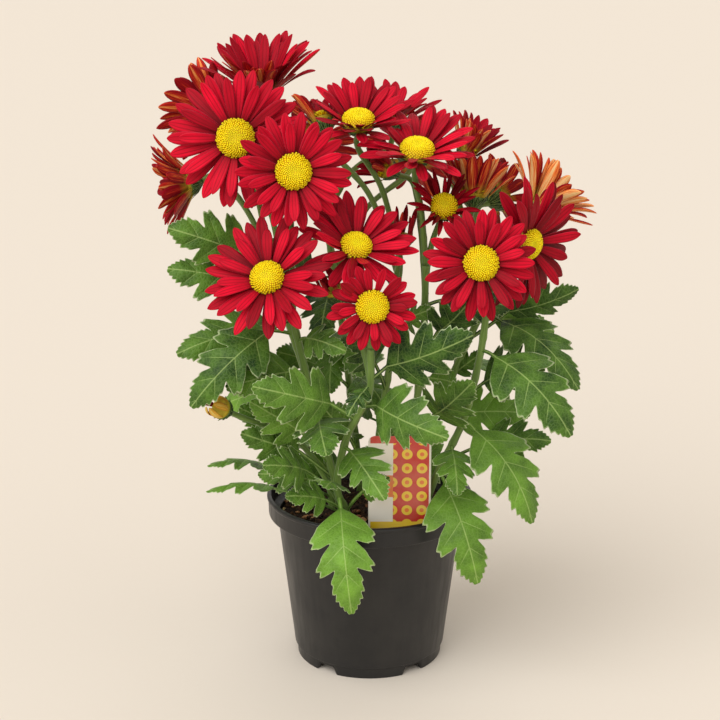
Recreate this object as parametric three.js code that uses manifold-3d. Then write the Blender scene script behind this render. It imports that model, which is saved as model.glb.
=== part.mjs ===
// Potted garden chrysanthemum: leafy stems with red daisy blooms, standing in a nursery pot.
// Millimetres, +Z up, the front towards -Y, origin on the ground under the pot's axis.
import * as THREE from 'three';
import { mergeVertices } from 'three/addons/utils/BufferGeometryUtils.js';
import Module from 'manifold-3d';

const wasm = await Module();
wasm.setup();

const DEG = Math.PI / 180;
const ROUND = 2 * Math.PI;
const UP = new THREE.Vector3(0, 0, 1);
const FRONT = new THREE.Vector3(0, -1, 0);

// Space between two solids that would touch
const GAP = 0.35;

// Pot
const POT_HEIGHT = 108;
const RIM_RADIUS = 65;
const RIM_BAND = 12;
const RIM_TAPER = 1;
const BAND_STEP = 5.5;
const BAND_FLARE = 2;
const FOOT_HEIGHT = 7;
const FOOT_SHOULDER = 0.6;
const BODY_FOOT_RADIUS = 48;
const FOOT_RADIUS = 46.3;
const WALL = 1.3;
const FLOOR_HEIGHT = 5.6;
const POT_SIDES = 32;
const FEET = 5;
const NOTCH_WIDTH = 14;
const NOTCH_HEIGHT = 5.2;
const DRAIN_RADIUS = 4.5;
const DRAIN_RING = 34;
const DRAIN_SIDES = 10;
const BODY_TOP = POT_HEIGHT - RIM_BAND;
const BODY_TOP_RADIUS = RIM_RADIUS - RIM_TAPER - BAND_STEP;

// The rim's section, from the band's foot outside to its foot inside: out from the rim's radius
// and up from the pot's height
const RIM_SECTION = [[-1, -12], [-0.6, -2.5], [0, -1.6], [-0.8, 0], [-2.6, 0], [-3, -2], [-3.4, -10.4]];
const BAND_FLOOR_DROP = 0.6;

// Soil
const SOIL_EDGE_HEIGHT = 94;
const SOIL_MOUND = 4;
const SOIL_CRUMB = 1.6;
const SOIL_RINGS = 3;
const SOIL_SIDES = 20;
const SOIL_MARGIN = 0.55;
const SOIL_BEVEL = 5;
const SOIL_EDGE = 3;
const SOIL_EDGE_IN = 0.6;
const SOIL_SEED = 5;

// Tag
const TAG_WIDTH = 38;
const TAG_TOP = 160;
const TAG_BOTTOM = 99;
const TAG_THICKNESS = 0.8;
const TAG_CORNER = 4;
const TAG_CORNER_STEPS = 4;
const TAG_CENTRE = [18, -44];
const STAKE_WIDTH = 12;
const STAKE_DEPTH = 78;
const STAKE_POINT = 6;

// Stems and stalks
const STEM_RADIUS = 2.4;
const STEM_SIDES = 6;
const STEM_STEPS = 9;
const STEM_FOOT = 74;
const STEM_LEVEL = 107;
const STEM_ABOVE_SOIL = 2;
const HOLE_RADIUS = 3.5;
const HOLE_SIDES = 7;
const HOLE_LENGTH = 60;
const STALK_RADIUS = 1.7;
const STALK_SIDES = 4;
const STALK_STEPS = 3;
const STALK_NECK = 12;
const STALK_RISE = 0.12;
const STALK_SET = 0.15;
const CURVE_TENSION = 0.5;

// Discs, and the cups of bracts under the blooms
const DISC_RISE = 0.45;
const DISC_SECTION = [[0.84, 0.72], [0.44, 1], [0, 0.92]];
const DISC_SIDES = 8;
const DISC_BEAD = 0.5;
const HUB_DEPTH = 3.4;
const HUB_FLARE = 0.9;
const HUB_MIDDLE_FLARE = 0.6;
const HUB_MIDDLE = 0.45;
const HUB_TAPER = -0.6;
const CALYX_DEPTH = 6;
const CALYX_SIDES = 5;
const CALYX_SECTION = [[0.72, 0.55], [0.8, 0]];
const CALYX_NECK = 1.2;

// Petals, with the upper layer's number before the lower layer's
const PETAL_HALF_SHARE = 0.06;
const PETAL_HALF_LEAST = 2.05;
const PETAL_KEEL = 1.25;
const PETAL_ROOT = 0.3;
const PETAL_ROOT_HALF = 0.38;
const PETAL_WIDEST = 0.66;
const PETAL_ROUNDING = 2.4;
const FINE_STATIONS = [0.46, 0.82];
const PLAIN_STATIONS = [0.66];
const PETAL_END = 1.01;
const LAYER_SINK = [1.5, 2.9];
const LAYER_OUT = [0, 1.5];
const LAYER_LIFT = [5, -6];
const LAYER_LENGTH = [0.94, 1];
const TURN_SHAKE = 0.3;
const LENGTH_SHAKE = 0.12;
const LIFT_SHAKE = 5;
const TWIST_SHAKE = 16;
const STRAIGHT = 0.01;
const PETAL_SEED = 100;

// Leaves
const LEAF_THICKNESS = 0.85;
const PETIOLE_HALF_WIDTH = 1.1;
const BLADE_MOST = 0.84;
const PETIOLE_ARCH = 0.16;
const BASE_LIFT = 2;
const LEAN_UP = 0.6;
const LEAN_OUT = 0.4;
const LEAN_FRONT = 0.75;
const BACK_FROM = 20;
const HALF_DIP = 0.22;
const DIP_AT_BASE = 0.4;
const LEAF_SEED = 300;

// Leaf outline, one side: along the midrib and out from it, as shares of the blade's length.
// A shoulder, a lobe, a cut, a lobe, a cut and the shoulder of the end lobe.
const LEAF_SIDE = [[0.14, 0.25], [0.32, 0.37], [0.41, 0.18], [0.63, 0.31], [0.68, 0.15], [0.86, 0.15]];
const LEAF_RIB = [0.32, 0.64, 1];

// Leaves of a run: how far their tips drop, and how much of the reach is blade
const RUN_DROP = 8;
const RUN_DROP_SHAKE = 22;
const RUN_BLADE = 0.82;
const RUN_BOW = 6;
const RUN_ROLL_SHAKE = 16;
const RUN_HEADING_SHAKE = 20;
const RUN_REACH_LEAST = 0.9;
const RUN_REACH_SHAKE = 0.2;

// Clearance: where a petal or leaf is sampled, how thick its samples count, and what is tried,
// one after the other, until it is clear
const SAMPLE_SHARES = [0.2, 0.32, 0.44, 0.56, 0.68, 0.8, 0.9, 1];
const SAMPLE_SIDES = [-0.85, -0.28, 0.28, 0.85];
const SAMPLE_LAST_WIDTH = 0.94;
const SAMPLE_LEAST_WIDTH = 0.2;
const PETAL_CLEARANCE = 1.1;
const OWN_FROM = 0.3;
const OWN_CLEARANCE = 0.8;
const PETAL_BENDS = [0, 9, -9, 18, -18, 28, -28, 38];
const ROOT_BEND = 0.4;
const PETAL_CUTS = [1, 0.82, 0.66, 0.5];
const LEAF_CLEARANCE = 1.35;
const LEAF_SHIFTS = [0, 6, -6, 12, -12, 18, -18, 26, -26];
const LEAF_CUTS = [1, 0.85, 0.7];
const LEAF_ROWS = 12;
const LEAF_GRID = 3.2;
const BLADE_SAMPLE = { least: 0.05, swell: 0.3, stretch: 1.15, power: 0.8 };
const PETIOLE_SAMPLES = [0.3, 0.4, 0.5, 0.6, 0.7, 0.8, 0.9, 1];
const STEM_SPARE = 0.4;
const STEM_SAMPLES = 70;
const STALK_SAMPLES = 30;
const STALK_LAST_SAMPLES = 2;
const CORE_RADIUS = 0.6;
const CORE_CLEARANCE = 0.62;
const CORE_SIDES = 8;
const CORE_TOP = 1;
const CORE_RING = -2;
const CORE_FOOT = -4;
const RIM_SAMPLES = { turns: 90, drops: [0, 5, 10, 15], ins: [6, 1], clearance: 1.8 };
const CARD_SAMPLES = { step: 3, clearance: 1.4 };
const SOIL_SAMPLES = { step: 5, reach: 55, radius: 57, clearance: 4.5 };

// Main stems: the place in the soil, then the points that the stem grows through
const STEMS = {
  left: [[-24, -6], [-28, -10, 140], [-42, -18, 200], [-62, -24, 262]],
  left_front: [[-18, -26], [-24, -38, 140], [-38, -58, 205], [-46, -66, 245]],
  front: [[-14, -36], [-20, -48, 130], [-14, -62, 165], [-1, -78, 198], [0, -90, 228]],
  centre: [[2, -4], [6, -8, 150], [14, -12, 210], [18, -14, 262]],
  right_centre: [[20, -20], [26, -24, 150], [32, -28, 215], [33, -30, 262]],
  right: [[34, -28], [42, -36, 135], [56, -46, 171], [64, -60, 215], [67, -70, 250]],
  right_back: [[28, 14], [40, 10, 150], [62, 0, 210], [80, -10, 250]],
  back: [[-6, 28], [-12, 34, 160], [-20, 34, 230], [-30, 26, 290]],
};

// Blooms: the middle of the disc, which way it faces (yaw 0 is the front, 90 the right), the
// disc's radius, the petals' length, number, and their lift from the disc's plane at root and tip.
// Petals of a fine bloom have one more station along them.
const BLOOMS = [
  { name: 'bloom_01', fine: true, stem: 'left', joins: 0.8, at: [-77, -45, 340], yaw: -6, pitch: 12,
    disc: 10.2, length: 31, petals: 24, lift: [6, -6] },
  { name: 'bloom_02', fine: true, stem: 'left_front', joins: 0.95, at: [-43, -75, 326], yaw: 8, pitch: 12,
    disc: 9.2, length: 24, petals: 22, lift: [10, 0] },
  { name: 'bloom_03', fine: true, stem: 'left_front', joins: 1, at: [-58, -85, 268], yaw: -12, pitch: 34,
    disc: 8.8, length: 28, petals: 22, lift: [16, 4] },
  { name: 'bloom_04', stem: 'centre', joins: 0.9, at: [-8, -70, 283], yaw: 14, pitch: 46,
    disc: 8, length: 27, petals: 20, lift: [20, 8] },
  { name: 'bloom_05', stem: 'front', joins: 1, at: [1, -100, 255], yaw: 2, pitch: 12,
    disc: 8.2, length: 17, petals: 20, lift: [12, 0] },
  { name: 'bloom_06', stem: 'centre', joins: 1, at: [-7, -20, 347], yaw: 0, pitch: 62,
    disc: 8.6, length: 25, petals: 20, lift: [36, 22] },
  { name: 'bloom_07', fine: true, stem: 'right_centre', joins: 1, at: [27, -40, 333], yaw: 6, pitch: 60,
    disc: 9, length: 27, petals: 20, lift: [30, 14] },
  { name: 'bloom_08', stem: 'right_centre', joins: 0.95, at: [43, -36, 299], yaw: 5, pitch: 36,
    disc: 7.2, length: 16, petals: 18, lift: [46, 28] },
  { name: 'bloom_09', fine: true, stem: 'right', joins: 1, at: [62, -80, 275], yaw: 4, pitch: 14,
    disc: 9, length: 23, petals: 24, lift: [8, -2] },
  { name: 'bloom_10', stem: 'right', joins: 0.9, at: [92, -54, 280], yaw: 40, pitch: -4,
    disc: 8, length: 31, petals: 20, lift: [10, -6] },
  { name: 'bloom_11', stem: 'right_back', joins: 1, at: [101, -18, 297], yaw: 112, pitch: 42,
    disc: 7, length: 30, petals: 16, lift: [46, 28] },
  { name: 'bloom_12', stem: 'right_back', joins: 0.9, at: [62, -12, 303], yaw: 150, pitch: 78,
    disc: 7, length: 27, petals: 16, lift: [58, 44] },
  { name: 'bloom_13', stem: 'back', joins: 1, at: [-65, 14, 363], yaw: -6, pitch: 74,
    disc: 8.6, length: 34, petals: 22, lift: [50, 34] },
  { name: 'bloom_14', stem: 'left', joins: 0.95, at: [-92, 3, 350], yaw: -150, pitch: 20,
    disc: 8, length: 29, petals: 20, lift: [16, 4] },
  { name: 'bloom_15', stem: 'left', joins: 0.9, at: [-110, -14, 308], yaw: -80, pitch: -8,
    disc: 7.6, length: 27, petals: 18, lift: [44, 32] },
  { name: 'bloom_16', stem: 'right_back', joins: 0.8, at: [60, 10, 326], yaw: 80, pitch: 62,
    disc: 5.5, length: 22, petals: 14, lift: [62, 50] },
  { name: 'bloom_17', stem: 'back', joins: 0.95, at: [14, 36, 342], yaw: 30, pitch: 78,
    disc: 8, length: 25, petals: 14, lift: [42, 28] },
  { name: 'bloom_18', stem: 'centre', joins: 0.95, at: [-28, -16, 348], yaw: -150, pitch: 62,
    disc: 6, length: 20, petals: 14, lift: [60, 44] },
  { name: 'bloom_19', stem: 'right_centre', joins: 0.9, at: [8, -4, 316], yaw: -76, pitch: 30,
    disc: 5.6, length: 16, petals: 12, lift: [62, 50] },
  { name: 'bloom_20', stem: 'back', joins: 0.9, at: [-38, 62, 320], yaw: -166, pitch: 26,
    disc: 8.6, length: 25, petals: 16, lift: [16, 2] },
  { name: 'bloom_21', stem: 'back', joins: 0.8, at: [28, 66, 312], yaw: 164, pitch: 30,
    disc: 8.6, length: 25, petals: 16, lift: [18, 4] },
  { name: 'bloom_22', stem: 'right_back', joins: 0.7, at: [82, 42, 290], yaw: 128, pitch: 22,
    disc: 8, length: 23, petals: 16, lift: [20, 6] },
];

// Opening buds: one ring of upright petals closing over the middle, no disc in sight
const BUDS = [
  { name: 'bud_centre', stem: 'centre', joins: 0.8, at: [20, -22, 279], yaw: 40, pitch: 76,
    disc: 5, length: 19, petals: 14, lift: [70, 82], slim: 0.8 },
  { name: 'bud_front', stem: 'front', joins: 0.85, at: [-22, -62, 256], yaw: -60, pitch: 60,
    disc: 4.6, length: 15, petals: 12, lift: [68, 96], slim: 0.8 },
  { name: 'bud_left', stem: 'left_front', joins: 0.3, at: [-88, -71, 187], yaw: -40, pitch: 30,
    disc: 5.6, length: 13, petals: 12, lift: [60, 136], slim: 0.8 },
];

// Leaves: the stem and the place along it, the tip, the blade's length, how far the blade is
// rolled about its length and bowed up in the middle, and its breadth if it isn't the usual one
const LEAVES = [
  { stem: 'front', at: 0.34, tip: [-11, -84, 62], blade: 68, roll: 0, bow: 17, slim: 0.85 },
  { stem: 'front', at: 0.2, tip: [-50, -66, 118], blade: 34, roll: 10, bow: 3 },
  { stem: 'front', at: 0.22, tip: [16, -66, 114], blade: 34, roll: -10, bow: 3 },
  { stem: 'front', at: 0.56, tip: [8, -98, 140], blade: 50, roll: 0, bow: 6 },
  { stem: 'front', at: 0.36, tip: [-26, -86, 143], blade: 34, roll: 0, bow: 3 },
  { stem: 'front', at: 0.68, tip: [-66, -104, 210], blade: 56, roll: -12, bow: 7 },
  { stem: 'front', at: 0.82, tip: [-13, -96, 190], blade: 22, roll: 20, bow: 2 },
  { stem: 'front', at: 0.74, tip: [43, -112, 182], blade: 56, roll: 24, bow: 8 },
  { stem: 'front', at: 0.86, tip: [57, -98, 232], blade: 56, roll: 26, bow: 6 },
  { stem: 'left_front', at: 0.62, tip: [-25, -106, 170], blade: 50, roll: 0, bow: 6 },
  { stem: 'left_front', at: 0.96, tip: [-102, -92, 194], blade: 58, roll: -8, bow: 10, slim: 0.85 },
  { stem: 'left_front', at: 0.74, tip: [-82, -88, 204], blade: 48, roll: -10, bow: 5 },
  { stem: 'left_front', at: 0.34, tip: [-62, -84, 150], blade: 44, roll: 0, bow: 4 },
  { stem: 'left_front', at: 0.44, tip: [-76, -62, 168], blade: 44, roll: -14, bow: 4 },
  { stem: 'left_front', at: 0.2, tip: [-98, -58, 130], blade: 46, roll: 60, bow: 4, slim: 0.7 },
  { stem: 'left', at: 0.24, tip: [-98, -46, 142], blade: 44, roll: 56, bow: 4, slim: 0.7 },
  { stem: 'left', at: 0.82, tip: [-112, -66, 218], blade: 60, roll: -6, bow: 8, slim: 0.85 },
  { stem: 'left', at: 0.98, tip: [-117, -46, 288], blade: 54, roll: -10, bow: 6 },
  { stem: 'left', at: 0.9, tip: [-119, -38, 262], blade: 52, roll: 0, bow: 5 },
  { stem: 'left', at: 0.6, tip: [-104, -30, 220], blade: 54, roll: 0, bow: 6 },
  { stem: 'centre', at: 0.62, tip: [-12, -58, 236], blade: 50, roll: 0, bow: 5 },
  { stem: 'right_centre', at: 0.46, tip: [59, -76, 204], blade: 54, roll: 10, bow: 6 },
  { stem: 'right_centre', at: 0.7, tip: [60, -62, 252], blade: 46, roll: 14, bow: 5 },
  { stem: 'right', at: 0.82, tip: [114, -96, 178], blade: 64, roll: -4, bow: 10 },
  { stem: 'right', at: 0.6, tip: [96, -74, 116], blade: 66, roll: -6, bow: 12, slim: 0.9 },
  { stem: 'right', at: 0.5, tip: [51, -80, 136], blade: 40, roll: 6, bow: 4 },
  { stem: 'right', at: 0.4, tip: [65, -67, 74], blade: 66, roll: 10, bow: 15, slim: 0.9 },
  { stem: 'right_back', at: 0.84, tip: [124, -46, 190], blade: 62, roll: -6, bow: 10, slim: 0.9 },
  { stem: 'right_back', at: 0.74, tip: [127, -8, 242], blade: 48, roll: 40, bow: 5, slim: 0.8 },
  { stem: 'right_back', at: 0.3, tip: [112, -18, 148], blade: 46, roll: 0, bow: 6 },
  { stem: 'right_back', at: 0.5, tip: [108, -34, 204], blade: 54, roll: 0, bow: 6 },
  { stem: 'centre', at: 0.3, tip: [-32, -46, 172], blade: 50, roll: 0, bow: 6 },
  { stem: 'centre', at: 0.44, tip: [44, -46, 172], blade: 54, roll: 0, bow: 6 },
  { stem: 'centre', at: 0.76, tip: [48, -52, 232], blade: 44, roll: 0, bow: 5 },
  { stem: 'left', at: 0.4, tip: [-78, -44, 178], blade: 52, roll: 0, bow: 5 },
  { stem: 'left_front', at: 0.5, tip: [-70, -64, 188], blade: 46, roll: 0, bow: 5 },
  { stem: 'left_front', at: 0.86, tip: [-14, -88, 226], blade: 42, roll: 0, bow: 5 },
  { stem: 'back', at: 0.46, tip: [-8, 112, 178], blade: 56, roll: 0, bow: 8 },
  { stem: 'back', at: 0.52, tip: [-58, 8, 198], blade: 50, roll: 0, bow: 5 },
  { stem: 'back', at: 0.36, tip: [-19, 6, 165], blade: 44, roll: 0, bow: 5 },
  { stem: 'back', at: 0.24, tip: [-2, 16, 137], blade: 42, roll: 0, bow: 5 },
  { stem: 'back', at: 0.44, tip: [19, 14, 168], blade: 46, roll: 0, bow: 5 },
  { stem: 'right_back', at: 0.62, tip: [71, 4, 199], blade: 42, roll: 0, bow: 5 },
];

// Leaves that the rule adds: the stem, first and last place along it, how many, and the first and
// last heading of their tips (0 is the front, 90 the right)
const LEAF_RUNS = [
  { stem: 'back', from: 0.34, to: 0.9, count: 6, headings: [-230, 130], reach: 62 },
  { stem: 'right_back', from: 0.36, to: 0.8, count: 4, headings: [150, 80], reach: 58 },
  { stem: 'left', from: 0.3, to: 0.85, count: 4, headings: [-100, -170], reach: 60 },
  { stem: 'centre', from: 0.26, to: 0.8, count: 5, headings: [-110, 120], reach: 56 },
  { stem: 'right_centre', from: 0.44, to: 0.86, count: 3, headings: [60, 160], reach: 54 },
  { stem: 'back', from: 0.24, to: 0.78, count: 6, headings: [-80, 80], reach: 60 },
];

// Seeded random numbers between 0 and 1
function randomFrom(seed) {
  let state = seed >>> 0;
  return () => {
    state = (state + 0x6D2B79F5) >>> 0;
    let mixed = Math.imul(state ^ (state >>> 15), state | 1);
    mixed ^= mixed + Math.imul(mixed ^ (mixed >>> 7), mixed | 61);
    return ((mixed ^ (mixed >>> 14)) >>> 0) / 2 ** 32;
  };
}

const vec = ([x, y, z]) => new THREE.Vector3(x, y, z);

// A point moved by distances along directions
function along(point, ...terms) {
  const sum = point.clone();
  for (const [direction, distance] of terms) sum.addScaledVector(direction, distance);
  return sum;
}

// The direction at an angle in the plane of two others
function spoke(side, lift, angle) {
  return along(new THREE.Vector3(), [side, Math.cos(angle)], [lift, Math.sin(angle)]);
}

// A closed geometry from points and triangles
function shell(points, faces) {
  const geometry = new THREE.BufferGeometry();
  const numbers = points.flatMap((point) => point.toArray());
  geometry.setAttribute('position', new THREE.Float32BufferAttribute(numbers, 3));
  geometry.setIndex(faces.flat());
  return geometry;
}

// Turn a closed geometry into a solid that can be joined and cut
function solid(geometry) {
  const bare = geometry.clone();
  bare.deleteAttribute('normal');
  bare.deleteAttribute('uv');
  const merged = mergeVertices(bare);
  return new wasm.Manifold(new wasm.Mesh({
    numProp: 3,
    vertProperties: new Float32Array(merged.attributes.position.array),
    triVerts: new Uint32Array(merged.index.array),
  }));
}

function joined(solids) {
  return solids.reduce((sum, next) => sum.add(next));
}

// Turn a solid back into a named mesh with its own material
function named(name, body, colour, roughness) {
  const { vertProperties, triVerts } = body.getMesh();
  const geometry = new THREE.BufferGeometry();
  geometry.setAttribute('position', new THREE.BufferAttribute(new Float32Array(vertProperties), 3));
  geometry.setIndex(new THREE.BufferAttribute(new Uint32Array(triVerts), 1));
  const material = new THREE.MeshStandardMaterial({ color: colour, roughness, metalness: 0 });
  const mesh = new THREE.Mesh(geometry, material);
  mesh.name = name;
  return mesh;
}

// A many-sided tube along a curve
function tube(curve, radius, sides, steps) {
  const corners = Array.from({ length: sides }, (_, side) => {
    const turn = side * ROUND / sides;
    return new THREE.Vector2(radius * Math.cos(turn), radius * Math.sin(turn));
  });
  const section = new THREE.Shape(corners);
  return new THREE.ExtrudeGeometry(section, { steps, extrudePath: curve, bevelEnabled: false });
}

// Rings of points turned about an axis, closed at both ends by a point on the axis
function turned({ centre, face, side, lift }, profile, sides, relief = () => 0) {
  const points = [along(centre, [face, profile[0][1]])];
  profile.slice(1, -1).forEach(([radius, height], ring) => {
    for (let k = 0; k < sides; k += 1) {
      const out = spoke(side, lift, (k + ring / 2) * ROUND / sides);
      points.push(along(centre, [out, radius], [face, height + relief(ring, k)]));
    }
  });
  points.push(along(centre, [face, profile.at(-1)[1]]));
  const rings = profile.length - 2;
  const last = points.length - 1;
  const faces = [];
  const at = (ring, k) => 1 + ring * sides + k % sides;
  for (let k = 0; k < sides; k += 1) {
    faces.push([0, at(0, k + 1), at(0, k)]);
    faces.push([last, at(rings - 1, k), at(rings - 1, k + 1)]);
    for (let ring = 0; ring + 1 < rings; ring += 1) {
      faces.push([at(ring, k), at(ring, k + 1), at(ring + 1, k)]);
      faces.push([at(ring, k + 1), at(ring + 1, k + 1), at(ring + 1, k)]);
    }
  }
  return shell(points, faces);
}

// The frame of a bloom: the way it faces, and two directions across it
function facing({ at, yaw, pitch }) {
  const level = Math.cos(pitch * DEG);
  const face = vec([Math.sin(yaw * DEG) * level, -Math.cos(yaw * DEG) * level, Math.sin(pitch * DEG)]);
  const side = new THREE.Vector3().crossVectors(UP, face).normalize();
  const lift = new THREE.Vector3().crossVectors(face, side);
  return { centre: vec(at), face, side, lift };
}

// Clearance: each placed piece keeps the sample points that later pieces have to miss
const placed = [];

function boundOf(points, radius) {
  const middle = points.reduce((sum, p) => sum.add(p), new THREE.Vector3()).divideScalar(points.length);
  return { middle, bound: Math.max(...points.map((p) => p.distanceTo(middle))) + radius };
}

function remember(family, points, radius) {
  placed.push({ family, points, radius, ...boundOf(points, radius) });
}

function areApart(points, others, distance) {
  return points.every((p) => others.every((q) => p.distanceToSquared(q) > distance ** 2));
}

function isClear(family, points, radius) {
  const { middle, bound } = boundOf(points, radius);
  return placed.every((other) => {
    if (other.family === family || other.middle.distanceTo(middle) > bound + other.bound) return true;
    return areApart(points, other.points, radius + other.radius);
  });
}

// A petal's middle line is an arc: its lift above the disc's plane goes evenly from root to tip.
function petalPoint({ frame, disc, turn, length, lift, layer, twist }, share) {
  const out = spoke(frame.side, frame.lift, turn);
  const [start, end] = lift;
  const change = Math.abs(end - start) < STRAIGHT ? STRAIGHT : end - start;
  const now = start + change * share;
  const run = length * (Math.sin(now) - Math.sin(start)) / change;
  const rise = length * (Math.cos(start) - Math.cos(now)) / change;
  const root = disc + PETAL_ROOT + LAYER_OUT[layer] * Math.sin(start);
  const middle = along(frame.centre, [out, root + run], [frame.face, rise - LAYER_SINK[layer]]);
  const ahead = spoke(out, frame.face, now);
  const front = spoke(out, frame.face, now + Math.PI / 2).applyAxisAngle(ahead, twist * share);
  const width = new THREE.Vector3().crossVectors(ahead, front);
  return { middle, front, width };
}

// Half the petal's width: it widens from a narrow root to its widest place, then rounds off.
function petalHalf(share) {
  if (share < PETAL_WIDEST) {
    return PETAL_ROOT_HALF + (1 - PETAL_ROOT_HALF) * Math.sin(share / PETAL_WIDEST * Math.PI / 2);
  }
  const past = (share - PETAL_WIDEST) / (1 - PETAL_WIDEST);
  return Math.sqrt(Math.max(0, 1 - past ** PETAL_ROUNDING));
}

function petalSamples(petal, from) {
  return SAMPLE_SHARES.filter((share) => share > from).flatMap((share) => {
    const { middle, width } = petalPoint(petal, share);
    const breadth = petalHalf(Math.min(share, SAMPLE_LAST_WIDTH));
    const half = petal.half * Math.max(breadth, SAMPLE_LEAST_WIDTH);
    return SAMPLE_SIDES.map((side) => along(middle, [width, half * side]));
  });
}

// Bend a petal, and then shorten it, until it is clear of its neighbours, the stems and the tag
function placePetal(family, own, petal) {
  for (const cut of PETAL_CUTS) {
    for (const bend of PETAL_BENDS) {
      const lift = [petal.lift[0] + bend * ROOT_BEND * DEG, petal.lift[1] + bend * DEG];
      const tried = { ...petal, length: petal.length * cut, lift };
      const points = petalSamples(tried, 0);
      const outer = petalSamples(tried, OWN_FROM);
      if (areApart(outer, own, 2 * OWN_CLEARANCE) && isClear(family, points, PETAL_CLEARANCE)) {
        remember(family, points, PETAL_CLEARANCE);
        own.push(...outer);
        return tried;
      }
    }
  }
  return null;
}

// All petals of a bloom: an upper and a lower layer of the same number, half a step apart.
// Where a layer has no petal, its place holds null.
function petalsOf(bloom, seed) {
  const random = randomFrom(seed);
  const frame = facing(bloom);
  const own = [];
  const half = (bloom.length * PETAL_HALF_SHARE + PETAL_HALF_LEAST) * (bloom.slim ?? 1);
  return [0, 1].map((layer) => Array.from({ length: bloom.petals / 2 }, (_, k) => {
    if (layer === 1 && BUDS.includes(bloom)) return null;
    const shake = [random() - 0.5, random() - 0.5, random() - 0.5, random() - 0.5];
    const settle = LAYER_LIFT[layer] + LIFT_SHAKE * shake[2];
    return placePetal(bloom.name, own, {
      frame,
      layer,
      half,
      disc: bloom.disc,
      turn: (k + layer / 2 + TURN_SHAKE * shake[0]) * 2 * ROUND / bloom.petals,
      length: bloom.length * (LAYER_LENGTH[layer] + LENGTH_SHAKE * shake[1]),
      twist: TWIST_SHAKE * shake[3] * DEG,
      lift: bloom.lift.map((lift) => (lift + settle) * DEG),
    });
  }));
}

// The red rays in one closed surface. The hub's wall is two bands of triangles, and every petal
// grows out of one of them as a three-sided strip with a flat front and a keel at the back.
function raysSolid(bloom, { centre, face, side, lift }, [upper, lower]) {
  const count = bloom.petals / 2;
  const points = [];
  const faces = [];
  const top = -2 * GAP;
  const middle = HUB_DEPTH * HUB_MIDDLE;
  const rings = [[HUB_FLARE, 0, -0.5], [HUB_MIDDLE_FLARE, middle, 0], [HUB_TAPER, HUB_DEPTH, 0.5]];
  for (const [flare, depth, offset] of rings) {
    for (let k = 0; k < count; k += 1) {
      const out = spoke(side, lift, (k + offset) * ROUND / count);
      points.push(along(centre, [out, bloom.disc + flare], [face, top - depth]));
    }
  }
  points.push(along(centre, [face, top]), along(centre, [face, top - HUB_DEPTH]));
  const [lid, floor] = [3 * count, 3 * count + 1];
  const at = (ring, k) => ring * count + (k + count) % count;
  for (let k = 0; k < count; k += 1) {
    faces.push([lid, at(0, k), at(0, k + 1)], [floor, at(2, k + 1), at(2, k)]);
    faces.push([at(1, k), at(1, k + 1), at(0, k + 1)], [at(2, k), at(2, k + 1), at(1, k + 1)]);
    growPetal([at(0, k + 1), at(0, k), at(1, k)], upper[k], bloom.fine, points, faces);
    growPetal([at(1, k + 1), at(1, k), at(2, k)], lower[k], bloom.fine, points, faces);
  }
  return solid(shell(points, faces));
}

// Stretch one triangle of the hub into a petal; without a petal the triangle closes the hub.
function growPetal(root, petal, fine, points, faces) {
  if (petal === null) {
    faces.push(root);
    return;
  }
  let ring = root;
  for (const share of fine ? FINE_STATIONS : PLAIN_STATIONS) {
    const { middle, front, width } = petalPoint(petal, share);
    const half = petal.half * petalHalf(share);
    const next = [points.length, points.length + 1, points.length + 2];
    points.push(along(middle, [width, -half]), along(middle, [width, half]));
    points.push(along(middle, [front, -PETAL_KEEL]));
    ring.forEach((a, k) => {
      const beside = (k + 1) % 3;
      faces.push([a, ring[beside], next[beside]], [a, next[beside], next[k]]);
    });
    ring = next;
  }
  points.push(petalPoint(petal, PETAL_END).middle);
  ring.forEach((a, k) => faces.push([a, ring[(k + 1) % 3], points.length - 1]));
}

// The disc: a low dome whose rings of florets stand up and down in turn
function discSolid({ disc }, frame) {
  const profile = [[0, -GAP], [disc, -GAP]];
  for (const [radius, height] of DISC_SECTION) profile.push([disc * radius, disc * DISC_RISE * height]);
  const relief = (ring, k) => (ring === 0 ? 0 : DISC_BEAD * (k % 2 === 0 ? 1 : -1));
  return solid(turned(frame, profile, DISC_SIDES, relief));
}

// The green cup of bracts under a bloom
function calyxSolid({ disc }, frame) {
  const top = -HUB_DEPTH - GAP * 3;
  const foot = top - CALYX_DEPTH;
  const profile = [[0, foot], [STALK_RADIUS * CALYX_NECK, foot]];
  for (const [radius, depth] of CALYX_SECTION) profile.push([disc * radius, top - CALYX_DEPTH * depth]);
  return solid(turned(frame, [...profile, [0, top]], CALYX_SIDES));
}

function curveThrough(points) {
  return new THREE.CatmullRomCurve3(points, false, 'catmullrom', CURVE_TENSION);
}

// A main stem's curve: straight up out of the soil, then through its points
function stemCurve(name) {
  const [[x, y], ...points] = STEMS[name];
  const low = [STEM_FOOT, SOIL_EDGE_HEIGHT + STEM_ABOVE_SOIL, STEM_LEVEL];
  return curveThrough([...low.map((height) => vec([x, y, height])), ...points.map(vec)]);
}

// A place on a stem, as a share of its way from the soil to its top
function stemPoint(name, share) {
  const spans = STEMS[name].length + 1;
  return stemCurve(name).getPoint((1 + share * (spans - 1)) / spans);
}

// A bloom's stalk, from its place on the stem up into the calyx along the way the bloom faces
function stalkCurve(bloom) {
  const { centre, face } = facing(bloom);
  const start = stemPoint(bloom.stem, bloom.joins);
  const end = along(centre, [face, -CALYX_DEPTH - HUB_DEPTH]);
  const neck = along(end, [face, -STALK_NECK]);
  const bend = along(start.clone().lerp(neck, 0.5), [UP, STALK_RISE * start.distanceTo(neck)]);
  bend.lerp(start.clone().setZ(bend.z), STALK_SET);
  return curveThrough([start, bend, neck, end]);
}

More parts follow.
